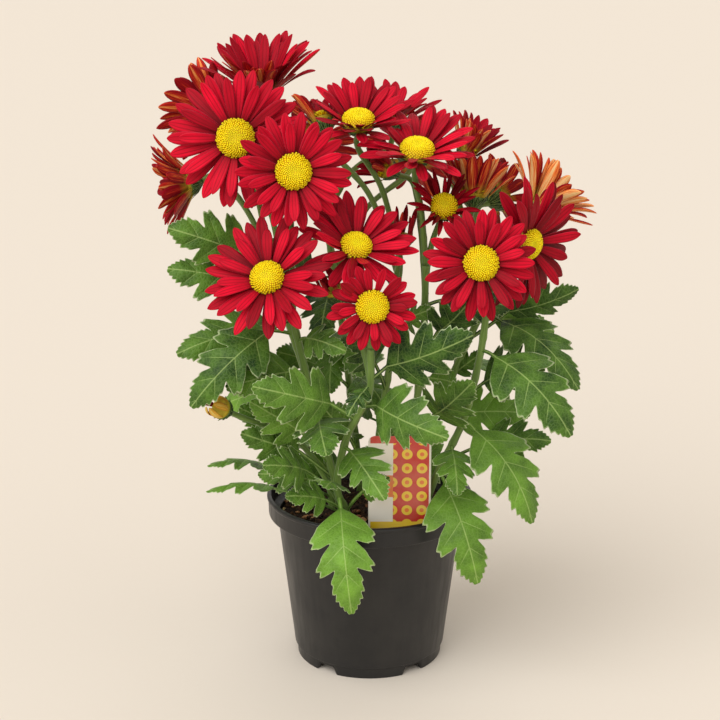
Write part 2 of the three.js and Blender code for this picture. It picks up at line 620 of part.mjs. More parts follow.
// The leaf's own frame: where the blade starts, its length direction, side and normal. The
// normal leans up, outwards and, but for the back, to the front.
function leafFrame({ stem, at, tip: [x, y, z], blade: wanted, roll, bow, slim = 1 }) {
  const start = stemPoint(stem, at);
  const tip = vec([x, y, z]);
  const reach = tip.distanceTo(start);
  const blade = Math.min(wanted, reach * BLADE_MOST);
  const base = start.clone().lerp(tip, 1 - blade / reach);
  base.z += PETIOLE_ARCH * (reach - blade) + BASE_LIFT;
  const length = tip.distanceTo(base);
  const ahead = tip.clone().sub(base).normalize();
  const outward = vec([x, y, 0]).normalize();
  const toLight = y < BACK_FROM ? LEAN_FRONT : 0;
  const normal = along(new THREE.Vector3(), [UP, LEAN_UP], [outward, LEAN_OUT], [FRONT, toLight]);
  normal.addScaledVector(ahead, -normal.dot(ahead)).normalize();
  normal.applyAxisAngle(ahead, roll * DEG);
  const side = new THREE.Vector3().crossVectors(ahead, normal);
  return { start, base, ahead, side, normal, length, bow, slim };
}

// A point of the blade: the midrib bows up in a parabola, and the halves dip towards the lobes.
function leafPoint({ base, ahead, side, normal, length, bow, slim }, share, out) {
  const dip = HALF_DIP * Math.abs(out) * length * (DIP_AT_BASE + share);
  const rise = 4 * bow * share * (1 - share) - dip;
  return along(base, [ahead, share * length], [side, out * length * slim], [normal, rise]);
}

function leafSamples(frame) {
  const grid = PETIOLE_SAMPLES.map((share) => frame.start.clone().lerp(frame.base, share));
  const { least, swell, stretch, power } = BLADE_SAMPLE;
  for (let row = 1; row <= LEAF_ROWS; row += 1) {
    const share = row / LEAF_ROWS;
    const reach = least + swell * Math.sin(Math.min(1, share * stretch) * Math.PI) ** power;
    const across = Math.max(1, Math.round(reach * frame.length / LEAF_GRID));
    for (let k = -across; k <= across; k += 1) grid.push(leafPoint(frame, share, reach * k / across));
  }
  for (const [share, out] of LEAF_SIDE) {
    grid.push(leafPoint(frame, share, out), leafPoint(frame, share, -out));
  }
  return grid;
}

// Swing a leaf up or down, and then shorten it, until it is clear of the other leaves
function placeLeaf(leaf) {
  const start = stemPoint(leaf.stem, leaf.at);
  for (const cut of LEAF_CUTS) {
    for (const shift of LEAF_SHIFTS) {
      const tip = start.clone().lerp(vec(leaf.tip), cut);
      tip.z += shift;
      const frame = leafFrame({ ...leaf, tip: tip.toArray(), blade: leaf.blade * cut });
      const points = leafSamples(frame);
      if (isClear(leaf.stem, points, LEAF_CLEARANCE)) {
        remember(`leaf on ${leaf.stem}`, points, LEAF_CLEARANCE);
        return frame;
      }
    }
  }
  return null;
}

// One leaf, petiole and blade in one plate: both faces are the same surface, moved apart. The
// points are the petiole's foot and neck, the midrib's, and those of the right and left side.
function leafSolid(frame) {
  const { start, side, normal, length, slim } = frame;
  const neckHalf = PETIOLE_HALF_WIDTH / length / slim;
  const foot = [-1, 1].map((way) => along(start, [side, way * PETIOLE_HALF_WIDTH]));
  const neck = [-1, 1].map((way) => leafPoint(frame, 0, way * neckHalf));
  const rib = LEAF_RIB.map((share) => leafPoint(frame, share, 0));
  const right = LEAF_SIDE.map(([share, out]) => leafPoint(frame, share, out));
  const left = LEAF_SIDE.map(([share, out]) => leafPoint(frame, share, -out));
  const middle = [...foot, ...neck, ...rib, ...right, ...left];
  const [ribFoot, ribMiddle, tip, edge] = [4, 5, 6, 7];
  const [shoulder, lobe, cut, lobeTwo, cutTwo, end] = LEAF_SIDE.map((_, k) => edge + k);
  const half = [[3, shoulder, ribFoot], [shoulder, lobe, ribFoot], [lobe, cut, ribFoot],
    [ribFoot, cut, ribMiddle], [cut, lobeTwo, ribMiddle], [lobeTwo, cutTwo, ribMiddle],
    [cutTwo, end, ribMiddle], [end, tip, ribMiddle]];
  const mirror = (index) => (index === 3 ? 2 : index + (index >= edge ? LEAF_SIDE.length : 0));
  const petiole = [[0, 1, 3], [0, 3, 2], [2, 3, ribFoot]];
  const upper = [...petiole, ...half, ...half.map(([a, b, c]) => [mirror(a), mirror(c), mirror(b)])];
  const rightEdge = [3, shoulder, lobe, cut, lobeTwo, cutTwo, end];
  const rim = [0, 1, ...rightEdge, tip, ...rightEdge.map(mirror).reverse()];
  const count = middle.length;
  const points = [LEAF_THICKNESS / 2, -LEAF_THICKNESS / 2].flatMap(
    (offset) => middle.map((point) => along(point, [normal, offset])),
  );
  const faces = [...upper, ...upper.map(([a, b, c]) => [a + count, c + count, b + count])];
  rim.forEach((a, k) => {
    const b = rim[(k + 1) % rim.length];
    faces.push([a, a + count, b + count], [a, b + count, b]);
  });
  return solid(shell(points, faces));
}

// Leaves of a run: evenly up the stem, their headings swinging from the first to the last
function runLeaves({ stem, from, to, count, headings: [first, last], reach }, seed) {
  const random = randomFrom(seed);
  return Array.from({ length: count }, (_, k) => {
    const share = k / (count - 1);
    const at = from + (to - from) * share;
    const start = stemPoint(stem, at);
    const stride = k % 2 === 0 ? share / 2 : 1 - share / 2;
    const heading = (first + (last - first) * stride + RUN_HEADING_SHAKE * (random() - 0.5)) * DEG;
    const out = reach * (RUN_REACH_LEAST + RUN_REACH_SHAKE * random());
    const tip = along(start, [spoke(FRONT, vec([1, 0, 0]), heading), out]);
    tip.z -= RUN_DROP + RUN_DROP_SHAKE * random();
    const roll = RUN_ROLL_SHAKE * (random() - 0.5);
    return { stem, at, tip: tip.toArray(), blade: out * RUN_BLADE, roll, bow: RUN_BOW };
  });
}

// Pot: a turned shell with a rim band and a foot ring cut into five feet, drained through its floor
function potMesh() {
  const footInner = FOOT_RADIUS - WALL * 2;
  const profile = [
    [0, FLOOR_HEIGHT], [footInner, FLOOR_HEIGHT], [footInner, 0], [FOOT_RADIUS, 0],
    [FOOT_RADIUS, FOOT_HEIGHT], [BODY_FOOT_RADIUS, FOOT_HEIGHT + FOOT_SHOULDER],
    [BODY_TOP_RADIUS, BODY_TOP - BAND_FLARE],
    ...RIM_SECTION.map(([out, up]) => [RIM_RADIUS + out, POT_HEIGHT + up]),
    [BODY_TOP_RADIUS - WALL, BODY_TOP - BAND_FLOOR_DROP],
    [BODY_FOOT_RADIUS - WALL, FLOOR_HEIGHT + WALL * 2],
    [BODY_FOOT_RADIUS - WALL * 2, FLOOR_HEIGHT + WALL], [0, FLOOR_HEIGHT + WALL],
  ].map(([radius, height]) => new THREE.Vector2(radius, height));
  let pot = solid(new THREE.LatheGeometry(profile, POT_SIDES).rotateX(Math.PI / 2));
  for (let foot = 0; foot < FEET; foot += 1) {
    const turn = (foot + 0.5) * ROUND / FEET - Math.PI / 2;
    const notch = new THREE.BoxGeometry(WALL * 8, NOTCH_WIDTH, NOTCH_HEIGHT * 2);
    notch.translate(FOOT_RADIUS, 0, 0).rotateZ(turn);
    const drain = new THREE.CylinderGeometry(DRAIN_RADIUS, DRAIN_RADIUS, WALL * 4, DRAIN_SIDES);
    drain.rotateX(Math.PI / 2).translate(DRAIN_RING, 0, FLOOR_HEIGHT + WALL / 2).rotateZ(turn);
    pot = pot.subtract(solid(notch)).subtract(solid(drain));
  }
  return named('pot', pot, 0x2b2a28, 0.45);
}

// How far out the soil reaches at a height, inside the pot's sloping wall
function soilRadius(height) {
  const foot = FLOOR_HEIGHT + WALL * 2;
  const share = (height - foot) / (BODY_TOP - BAND_FLOOR_DROP - foot);
  return BODY_FOOT_RADIUS - WALL + (BODY_TOP_RADIUS - BODY_FOOT_RADIUS) * share - SOIL_MARGIN;
}

// Soil: fills the pot, mounded and crumbly on top, with a plain hole for each stem and the tag
function soilMesh() {
  const random = randomFrom(SOIL_SEED);
  const floor = FLOOR_HEIGHT + WALL + GAP;
  const edge = SOIL_EDGE_HEIGHT - SOIL_EDGE;
  const profile = [[0, floor], [soilRadius(floor) - WALL * 2, floor],
    [soilRadius(floor + SOIL_BEVEL), floor + SOIL_BEVEL], [soilRadius(edge), edge]];
  const wallRings = profile.length - 1;
  for (let ring = 0; ring < SOIL_RINGS; ring += 1) {
    const share = 1 - ring / SOIL_RINGS;
    const height = SOIL_EDGE_HEIGHT + SOIL_MOUND * (1 - share * share);
    profile.push([(soilRadius(edge) - SOIL_EDGE_IN) * share, height]);
  }
  profile.push([0, SOIL_EDGE_HEIGHT + SOIL_MOUND]);
  const relief = (ring) => (ring < wallRings ? 0 : SOIL_CRUMB * (random() - 0.5) * 2);
  const frame = { centre: new THREE.Vector3(), face: UP, side: vec([1, 0, 0]), lift: vec([0, 1, 0]) };
  let soil = solid(turned(frame, profile, SOIL_SIDES, relief));
  for (const [[x, y]] of Object.values(STEMS)) {
    const hole = new THREE.CylinderGeometry(HOLE_RADIUS, HOLE_RADIUS, HOLE_LENGTH, HOLE_SIDES);
    hole.rotateX(Math.PI / 2).translate(x, y, STEM_FOOT - GAP + HOLE_LENGTH / 2);
    soil = soil.subtract(solid(hole));
  }
  const slot = new THREE.BoxGeometry(STAKE_WIDTH + GAP * 2, TAG_THICKNESS + GAP * 2, HOLE_LENGTH);
  slot.translate(...TAG_CENTRE, STAKE_DEPTH - GAP + HOLE_LENGTH / 2);
  return named('soil', soil.subtract(solid(slot)), 0x3a2a1e, 0.95);
}

// Plant label: a card with rounded top corners on a stake that stands in the soil
function tagMesh() {
  const half = TAG_WIDTH / 2;
  const stake = STAKE_WIDTH / 2;
  const quarter = Math.PI / 2;
  const outline = new THREE.Shape();
  outline.moveTo(-half, TAG_BOTTOM);
  outline.lineTo(-stake, TAG_BOTTOM);
  outline.lineTo(-stake, STAKE_DEPTH + STAKE_POINT);
  outline.lineTo(0, STAKE_DEPTH);
  outline.lineTo(stake, STAKE_DEPTH + STAKE_POINT);
  outline.lineTo(stake, TAG_BOTTOM);
  outline.lineTo(half, TAG_BOTTOM);
  outline.absarc(half - TAG_CORNER, TAG_TOP - TAG_CORNER, TAG_CORNER, 0, quarter);
  outline.absarc(TAG_CORNER - half, TAG_TOP - TAG_CORNER, TAG_CORNER, quarter, 2 * quarter);
  outline.closePath();
  const settings = { depth: TAG_THICKNESS, bevelEnabled: false, curveSegments: TAG_CORNER_STEPS };
  const card = new THREE.ExtrudeGeometry(outline, settings);
  card.rotateX(quarter).translate(TAG_CENTRE[0], TAG_CENTRE[1] + TAG_THICKNESS / 2, 0);
  return named('tag', solid(card), 0xf2ede0, 0.35);
}

// What a petal or leaf has to miss at the pot: its rim, the tag's card and the soil
function rememberPot() {
  const rim = [];
  for (let k = 0; k < RIM_SAMPLES.turns; k += 1) {
    const out = spoke(vec([1, 0, 0]), vec([0, 1, 0]), k * ROUND / RIM_SAMPLES.turns);
    for (const drop of RIM_SAMPLES.drops) {
      for (const inward of RIM_SAMPLES.ins) {
        rim.push(along(new THREE.Vector3(), [out, RIM_RADIUS - inward], [UP, POT_HEIGHT - drop]));
      }
    }
  }
  remember('pot', rim, RIM_SAMPLES.clearance);
  const card = [];
  for (let x = -TAG_WIDTH / 2; x <= TAG_WIDTH / 2; x += CARD_SAMPLES.step) {
    for (let z = TAG_BOTTOM; z <= TAG_TOP; z += CARD_SAMPLES.step) {
      card.push(new THREE.Vector3(TAG_CENTRE[0] + x, TAG_CENTRE[1], z));
    }
  }
  remember('tag', card, CARD_SAMPLES.clearance);
  const { step, reach, radius, clearance } = SOIL_SAMPLES;
  const ground = [];
  for (let x = -reach; x <= reach; x += step) {
    for (let y = -reach; y <= reach; y += step) {
      if (Math.hypot(x, y) < radius) ground.push(new THREE.Vector3(x, y, SOIL_EDGE_HEIGHT));
    }
  }
  remember('soil', ground, clearance);
}

// What a petal or leaf has to miss on a head: the disc with its hub, and the stalk but for its end
function rememberHead(head) {
  const { centre, face, side, lift } = facing(head);
  const core = [along(centre, [face, CORE_TOP]), along(centre, [face, CORE_FOOT])];
  for (let k = 0; k < CORE_SIDES; k += 1) {
    const out = spoke(side, lift, k * ROUND / CORE_SIDES);
    core.push(along(centre, [out, CORE_RADIUS * head.disc], [face, CORE_RING]));
  }
  remember(head.name, core, head.disc * CORE_CLEARANCE);
  const stalk = stalkCurve(head).getPoints(STALK_SAMPLES).slice(0, -STALK_LAST_SAMPLES - 1);
  remember(head.stem, stalk, STALK_RADIUS + STEM_SPARE);
}

const group = new THREE.Group();
group.add(potMesh(), soilMesh(), tagMesh());

const heads = [...BLOOMS, ...BUDS];
const stemNames = Object.keys(STEMS);
rememberPot();
for (const name of stemNames) {
  remember(name, stemCurve(name).getPoints(STEM_SAMPLES), STEM_RADIUS + STEM_SPARE);
}
heads.forEach(rememberHead);

const stemSolids = {};
for (const name of stemNames) {
  stemSolids[name] = [solid(tube(stemCurve(name), STEM_RADIUS, STEM_SIDES, STEM_STEPS))];
}
heads.forEach((head, index) => {
  const frame = facing(head);
  const petals = petalsOf(head, PETAL_SEED + index);
  group.add(named(`${head.name}_rays`, raysSolid(head, frame, petals), 0xb3121f, 0.6));
  if (BLOOMS.includes(head)) {
    group.add(named(`${head.name}_disc`, discSolid(head, frame), 0xf2d21b, 0.8));
  }
  const stalk = solid(tube(stalkCurve(head), STALK_RADIUS, STALK_SIDES, STALK_STEPS));
  stemSolids[head.stem].push(stalk, calyxSolid(head, frame));
});
const runs = LEAF_RUNS.flatMap((run, index) => runLeaves(run, LEAF_SEED + index));
for (const leaf of [...LEAVES, ...runs]) {
  const frame = placeLeaf(leaf);
  if (frame !== null) stemSolids[leaf.stem].push(leafSolid(frame));
}
for (const name of stemNames) {
  group.add(named(`stem_${name}`, joined(stemSolids[name]), 0x4f7a35, 0.7));
}

export default group;
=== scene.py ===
"""Looks for the potted garden chrysanthemum, built round its solids. Metres, +Z up, front at -Y.

Lengths in the design lists and in the shape functions are millimetres, as in the part's source,
and become metres where a piece is made.
"""

import collections
import functools
import math

import bpy
import numpy as np
from bpy.props import FloatProperty, FloatVectorProperty, PointerProperty
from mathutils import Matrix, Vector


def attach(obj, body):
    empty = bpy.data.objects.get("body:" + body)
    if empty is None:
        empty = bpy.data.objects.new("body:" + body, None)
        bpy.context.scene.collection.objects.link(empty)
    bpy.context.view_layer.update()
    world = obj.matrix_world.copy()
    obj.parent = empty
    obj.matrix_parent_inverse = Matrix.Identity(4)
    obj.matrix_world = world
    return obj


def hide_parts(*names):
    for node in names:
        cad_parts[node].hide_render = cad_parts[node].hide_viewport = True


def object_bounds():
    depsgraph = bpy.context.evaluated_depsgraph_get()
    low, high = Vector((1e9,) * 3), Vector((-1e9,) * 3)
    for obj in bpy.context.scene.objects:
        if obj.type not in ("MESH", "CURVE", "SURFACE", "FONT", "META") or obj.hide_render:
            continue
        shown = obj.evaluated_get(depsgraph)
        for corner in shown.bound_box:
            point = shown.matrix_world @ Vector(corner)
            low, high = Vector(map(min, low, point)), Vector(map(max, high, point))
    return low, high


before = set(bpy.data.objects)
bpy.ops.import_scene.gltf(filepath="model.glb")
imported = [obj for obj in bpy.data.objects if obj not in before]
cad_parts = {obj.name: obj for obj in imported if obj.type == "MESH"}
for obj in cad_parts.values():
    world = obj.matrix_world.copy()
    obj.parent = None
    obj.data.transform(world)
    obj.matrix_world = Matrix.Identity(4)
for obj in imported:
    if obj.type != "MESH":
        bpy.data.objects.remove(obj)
CAD_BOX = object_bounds()

bl_info = {
    "name": "Potted garden chrysanthemum",
    "version": (1, 0, 0),
    "blender": (4, 5, 0),
    "location": "3D View > Sidebar > Chrysanthemum",
    "description": "Petals, florets, leaves, pot, soil and label for the chrysanthemum's solids",
    "category": "Add Mesh",
}

MM = 0.001
UP = np.array([0.0, 0.0, 1.0])
FRONT = np.array([0.0, -1.0, 0.0])

GOLDEN_ANGLE = math.pi * (3 - math.sqrt(5))

# Pot
POT_HEIGHT = 108
RIM_RADIUS = 65
RIM_BAND = 12
BAND_STEP = 5.5
FOOT_HEIGHT = 7
BODY_FOOT_RADIUS = 48
FOOT_RADIUS = 46.3
WALL = 1.3
FLOOR_HEIGHT = 5.6
FEET = 5
NOTCH_WIDTH = 14
NOTCH_HEIGHT = 5.2
FLOOR_MIDDLE = 12
DRAIN_RADIUS = 4.5
DRAIN_RING = 34

# Soil
SOIL_EDGE_HEIGHT = 94
SOIL_MOUND = 4
SOIL_RADIUS = 56

# Label
TAG_WIDTH = 38
TAG_TOP = 160
TAG_BOTTOM = 99
TAG_THICKNESS = 0.8
TAG_CORNER = 4
TAG_CENTRE = (18, -44)
STAKE_WIDTH = 12
STAKE_DEPTH = 78

# Stems
STEM_RADIUS = 2.4
STALK_RADIUS = 1.7
STEM_FOOT = 74
STEM_LEVEL = 107

# Blooms
DISC_RISE = 0.45
DISC_BASE = 0.35
HUB_DEPTH = 3.4
CALYX_DEPTH = 6
PETAL_HALF_SHARE = 0.06
PETAL_HALF_LEAST = 2.05
PETAL_WIDEST = 0.66
PETAL_ROOT = 0.3
INNER_SLIM = 0.82

# Petals grow in an upper layer, a lower one and an inner row. For each: how far its roots lie
# behind the disc's plane, out and in, its extra lift in degrees, how many steps it is turned on,
# and its length as a share; then how far the turn (in steps), length, lift and twist may swing.
LAYER_SINK = (1.5, 2.9, 0.5)
LAYER_OUT = (0, 1.5, 0)
LAYER_IN = (0, 0, 0.5)
LAYER_LIFT = (5, -6, 12)
LAYER_TURN = (0, 0.5, 0.25)
LAYER_LENGTH = (0.94, 1, 0.8)
LAYER_SHAKE = ((0.3, 0.12, 5, 16), (0.3, 0.12, 5, 16), (0.7, 0.24, 10, 30))

# The clearance rule: a sample's radius, where a bloom's own petals begin to count and how near
# they may come, the bends and cuts that are tried, and where along and across samples lie
PETAL_RADIUS = 1.1
OWN_FROM = 0.3
OWN_REACH = 1.6
BENDS = (0, 9, -9, 18, -18, 28, -28, 38)
CUTS = (1, 0.82, 0.66, 0.5)
SAMPLE_SHARES = np.array([0.2, 0.32, 0.44, 0.56, 0.68, 0.8, 0.9, 1])
SAMPLE_SIDES = np.array([-0.85, -0.28, 0.28, 0.85])

# Leaves
LEAF_RADIUS = 1.35
LEAF_SHIFTS = (0, 6, -6, 12, -12, 18, -18, 26, -26)
LEAF_CUTS = (1, 0.85, 0.7)
BLADE_MOST = 0.84
RUN_BLADE = 0.82
PETIOLE_HALF_WIDTH = 1.1

# How far other pieces keep from the pot's rim, the label, the soil and the stems, and the share
# of a disc's radius that a bloom's middle takes
RIM_CLEARANCE = 1.8
CARD_CLEARANCE = 1.4
SOIL_CLEARANCE = 4.5
STEM_SPARE = 0.4
CORE_CLEARANCE = 0.62

# Where the seeded draws start: one a bloom, a run or a leaf from here on
PETAL_SEED = 100
RUN_SEED = 300
INNER_SEED = 500
PETAL_SHAPE_SEED = 700
FLORET_SEED = 800
FOLIAGE_SEED = 900

# Main stems: the place in the soil, then the points that the stem grows through.
STEMS = {
    "left": [(-24, -6), (-28, -10, 140), (-42, -18, 200), (-62, -24, 262)],
    "left_front": [(-18, -26), (-24, -38, 140), (-38, -58, 205), (-46, -66, 245)],
    "front": [(-14, -36), (-20, -48, 130), (-14, -62, 165), (-1, -78, 198), (0, -90, 228)],
    "centre": [(2, -4), (6, -8, 150), (14, -12, 210), (18, -14, 262)],
    "right_centre": [(20, -20), (26, -24, 150), (32, -28, 215), (33, -30, 262)],
    "right": [(34, -28), (42, -36, 135), (56, -46, 171), (64, -60, 215), (67, -70, 250)],
    "right_back": [(28, 14), (40, 10, 150), (62, 0, 210), (80, -10, 250)],
    "back": [(-6, 28), (-12, 34, 160), (-20, 34, 230), (-30, 26, 290)],
}

# Blooms: name, stem and place along it, the middle of the disc, which way it faces (yaw 0 is the
# front, 90 the right), the disc's radius, the petals' length, number, and their lift from the
# disc's plane at root and tip, then how far the petals' edges roll in and how ripe their red is.
Bloom = collections.namedtuple(
    "Bloom", "name stem at centre yaw pitch disc length petals lift roll ripe")
BLOOMS = [Bloom(*row) for row in [
    ("bloom_01", "left", 0.8, (-77, -45, 340), -6, 12, 10.2, 31, 24, (6, -6), 0.0, 0.5),
    ("bloom_02", "left_front", 0.95, (-43, -75, 326), 8, 12, 9.2, 24, 22, (10, 0), 0.0, 0.55),
    ("bloom_03", "left_front", 1, (-58, -85, 268), -12, 34, 8.8, 28, 22, (16, 4), 0.0, 0.2),
    ("bloom_04", "centre", 0.9, (-8, -70, 283), 14, 46, 8, 27, 20, (20, 8), 0.0, 0.3),
    ("bloom_05", "front", 1, (1, -100, 255), 2, 12, 8.2, 17, 20, (12, 0), 0.0, 0.3),
    ("bloom_06", "centre", 1, (-7, -20, 347), 0, 62, 8.6, 25, 20, (36, 22), 0.0, 0.4),
    ("bloom_07", "right_centre", 1, (27, -40, 333), 6, 60, 9, 27, 20, (30, 14), 0.0, 0.5),
    ("bloom_08", "right_centre", 0.95, (43, -36, 299), 5, 36, 7.2, 16, 18, (46, 28), 0.9, -0.6),
    ("bloom_09", "right", 1, (62, -80, 275), 4, 14, 9, 23, 24, (8, -2), 0.0, 0.1),
    ("bloom_10", "right", 0.9, (92, -54, 280), 40, -4, 8, 31, 20, (10, -6), 0.0, -0.5),
    ("bloom_11", "right_back", 1, (101, -18, 297), 112, 42, 7, 30, 16, (46, 28), 0.2, 0.2),
    ("bloom_12", "right_back", 0.9, (62, -12, 303), 150, 78, 7, 27, 16, (58, 44), 0.3, -0.2),
    ("bloom_13", "back", 1, (-65, 14, 363), -6, 74, 8.6, 34, 22, (50, 34), 0.1, 0.2),
    ("bloom_14", "left", 0.95, (-92, 3, 350), -150, 20, 8, 29, 20, (16, 4), 0.0, -0.2),
    ("bloom_15", "left", 0.9, (-110, -14, 308), -80, -8, 7.6, 27, 18, (44, 32), 0.2, -0.3),
    ("bloom_16", "right_back", 0.8, (60, 10, 326), 80, 62, 5.5, 22, 14, (62, 50), 0.3, -0.4),
    ("bloom_17", "back", 0.95, (14, 36, 342), 30, 78, 8, 25, 14, (42, 28), 0.0, 0.0),
    ("bloom_18", "centre", 0.95, (-28, -16, 348), -150, 62, 6, 20, 14, (60, 44), 0.3, -0.3),
    ("bloom_19", "right_centre", 0.9, (8, -4, 316), -76, 30, 5.6, 16, 12, (62, 50), 0.4, -0.3),
    ("bloom_20", "back", 0.9, (-38, 62, 320), -166, 26, 8.6, 25, 16, (16, 2), 0.0, 0.2),
    ("bloom_21", "back", 0.8, (28, 66, 312), 164, 30, 8.6, 25, 16, (18, 4), 0.0, 0.2),
    ("bloom_22", "right_back", 0.7, (82, 42, 290), 128, 22, 8, 23, 16, (20, 6), 0.0, 0.0),
]]

# Opening buds: one ring of upright petals closing over the middle, no disc in sight.
BUDS = [Bloom(*row) for row in [
    ("bud_centre", "centre", 0.8, (20, -22, 279), 40, 76, 5, 19, 14, (70, 82), 0.5, -0.7),
    ("bud_front", "front", 0.85, (-22, -62, 256), -60, 60, 4.6, 15, 12, (68, 96), 0.5, -0.8),
    ("bud_left", "left_front", 0.3, (-88, -71, 187), -40, 30, 5.6, 13, 12, (60, 136), 0.2, -0.93),
]]
# Buds have narrower petals in a single layer
SLIM = {"bud_centre": 0.8, "bud_front": 0.8, "bud_left": 0.8}

# Shorter petals in front of a bloom's own, and the blooms that have more of them
EXTRA_PETALS = 12
EXTRA_IN = {"bloom_11": 24, "bloom_12": 18, "bloom_13": 26, "bloom_14": 20, "bloom_16": 20}

# How much of a bloom's petals is cream and orange behind, and the blooms where it is more
USUAL_CREAM = 0.12
CREAM = {"bloom_11": 0.72, "bloom_12": 0.5, "bloom_13": 0.35, "bloom_14": 0.4, "bloom_15": 0.45,
         "bloom_16": 0.55, "bloom_18": 0.3, "bud_left": 0.75}

# Leaves: the stem and the place along it, the tip, the blade's length, and how the blade is
# rolled about its length, bowed up in the middle, and how slim it is.
LEAVES = [
    ("front", 0.34, (-11, -84, 62), 68, 0, 17, 0.85),
    ("front", 0.2, (-50, -66, 118), 34, 10, 3, 1),
    ("front", 0.22, (16, -66, 114), 34, -10, 3, 1),
    ("front", 0.56, (8, -98, 140), 50, 0, 6, 1),
    ("front", 0.36, (-26, -86, 143), 34, 0, 3, 1),
    ("front", 0.68, (-66, -104, 210), 56, -12, 7, 1),
    ("front", 0.82, (-13, -96, 190), 22, 20, 2, 1),
    ("front", 0.74, (43, -112, 182), 56, 24, 8, 1),
    ("front", 0.86, (57, -98, 232), 56, 26, 6, 1),
    ("left_front", 0.62, (-25, -106, 170), 50, 0, 6, 1),
    ("left_front", 0.96, (-102, -92, 194), 58, -8, 10, 0.85),
    ("left_front", 0.74, (-82, -88, 204), 48, -10, 5, 1),
    ("left_front", 0.34, (-62, -84, 150), 44, 0, 4, 1),
    ("left_front", 0.44, (-76, -62, 168), 44, -14, 4, 1),
    ("left_front", 0.2, (-98, -58, 130), 46, 60, 4, 0.7),
    ("left", 0.24, (-98, -46, 142), 44, 56, 4, 0.7),
    ("left", 0.82, (-112, -66, 218), 60, -6, 8, 0.85),
    ("left", 0.98, (-117, -46, 288), 54, -10, 6, 1),
    ("left", 0.9, (-119, -38, 262), 52, 0, 5, 1),
    ("left", 0.6, (-104, -30, 220), 54, 0, 6, 1),
    ("centre", 0.62, (-12, -58, 236), 50, 0, 5, 1),
    ("right_centre", 0.46, (59, -76, 204), 54, 10, 6, 1),
    ("right_centre", 0.7, (60, -62, 252), 46, 14, 5, 1),
    ("right", 0.82, (114, -96, 178), 64, -4, 10, 1),
    ("right", 0.6, (96, -74, 116), 66, -6, 12, 0.9),
    ("right", 0.5, (51, -80, 136), 40, 6, 4, 1),
    ("right", 0.4, (65, -67, 74), 66, 10, 15, 0.9),
    ("right_back", 0.84, (124, -46, 190), 62, -6, 10, 0.9),
    ("right_back", 0.74, (127, -8, 242), 48, 40, 5, 0.8),
    ("right_back", 0.3, (112, -18, 148), 46, 0, 6, 1),
    ("right_back", 0.5, (108, -34, 204), 54, 0, 6, 1),
    ("centre", 0.3, (-32, -46, 172), 50, 0, 6, 1),
    ("centre", 0.44, (44, -46, 172), 54, 0, 6, 1),
    ("centre", 0.76, (48, -52, 232), 44, 0, 5, 1),
    ("left", 0.4, (-78, -44, 178), 52, 0, 5, 1),
    ("left_front", 0.5, (-70, -64, 188), 46, 0, 5, 1),
    ("left_front", 0.86, (-14, -88, 226), 42, 0, 5, 1),
    ("back", 0.46, (-8, 112, 178), 56, 0, 8, 1),
    ("back", 0.52, (-58, 8, 198), 50, 0, 5, 1),
    ("back", 0.36, (-19, 6, 165), 44, 0, 5, 1),
    ("back", 0.24, (-2, 16, 137), 42, 0, 5, 1),
    ("back", 0.44, (19, 14, 168), 46, 0, 5, 1),
    ("right_back", 0.62, (71, 4, 199), 42, 0, 5, 1),
]

# Leaves that the rule adds up the back: stem, first and last place, how many, first and last
# heading of their tips, and how far they reach.
LEAF_RUNS = [
    ("back", 0.34, 0.9, 6, (-230, 130), 62),
    ("right_back", 0.36, 0.8, 4, (150, 80), 58),
    ("left", 0.3, 0.85, 4, (-100, -170), 60),
    ("centre", 0.26, 0.8, 5, (-110, 120), 56),
    ("right_centre", 0.44, 0.86, 3, (60, 160), 54),
    ("back", 0.24, 0.78, 6, (-80, 80), 60),
]

# The solids' leaf outline, one side, which the leaves are kept clear by
LEAF_SIDE = np.array([(0.14, 0.25), (0.32, 0.37), (0.41, 0.18),
                      (0.63, 0.31), (0.68, 0.15), (0.86, 0.15)])

# The fine leaf outline, one side: where a side vein leaves the midrib, and how far it reaches
# along its own slanting line, as shares of the blade's length. Three lobes, toothed.
LEAF_EDGE = np.array([
    (0.0, 0.03), (0.01, 0.10), (0.03, 0.22), (0.05, 0.30), (0.07, 0.33), (0.09, 0.36),
    (0.11, 0.405), (0.13, 0.41), (0.15, 0.385), (0.165, 0.39), (0.185, 0.41), (0.20, 0.385),
    (0.22, 0.345), (0.235, 0.32), (0.25, 0.26), (0.262, 0.20), (0.277, 0.175), (0.29, 0.205),
    (0.305, 0.275), (0.32, 0.31), (0.34, 0.335), (0.36, 0.385), (0.38, 0.39), (0.40, 0.36),
    (0.415, 0.355), (0.435, 0.365), (0.455, 0.33), (0.47, 0.285), (0.49, 0.235), (0.505, 0.18),
    (0.52, 0.16), (0.535, 0.175), (0.555, 0.22), (0.575, 0.235), (0.597, 0.22), (0.615, 0.225),
    (0.64, 0.25), (0.66, 0.235), (0.68, 0.20), (0.70, 0.20), (0.725, 0.215), (0.75, 0.185),
    (0.77, 0.165), (0.79, 0.17), (0.82, 0.15), (0.84, 0.12), (0.86, 0.12), (0.885, 0.11),
    (0.91, 0.08), (0.94, 0.065), (0.97, 0.04), (1.0, 0.0),
])
FIRST_VEIN = 0.14
VEIN_STEP = 0.26
LEAF_ROWS = 84
LEAF_COLUMNS = 11

# A blade's relief: how far side veins and the midrib are pressed in, how far the blade between
# them domes, and how far the midrib stands out behind
VEIN_PRESS = 0.45
MIDRIB_SINK = 0.5
BLADE_PUFF = 0.6
MIDRIB_STAND = 0.8

# Petals: where their rings lie along them, points across, and how deep the grooves are, how far
# from the middle and how wide as shares of the half width
PETAL_STATIONS = np.array([0.0, 0.12, 0.26, 0.4, 0.54, 0.66, 0.77, 0.86, 0.93, 0.98])
PETAL_COLUMNS = 7
GROOVE_DEPTH = 0.24
GROOVE_PLACE = 0.34
GROOVE_WIDTH = 0.16

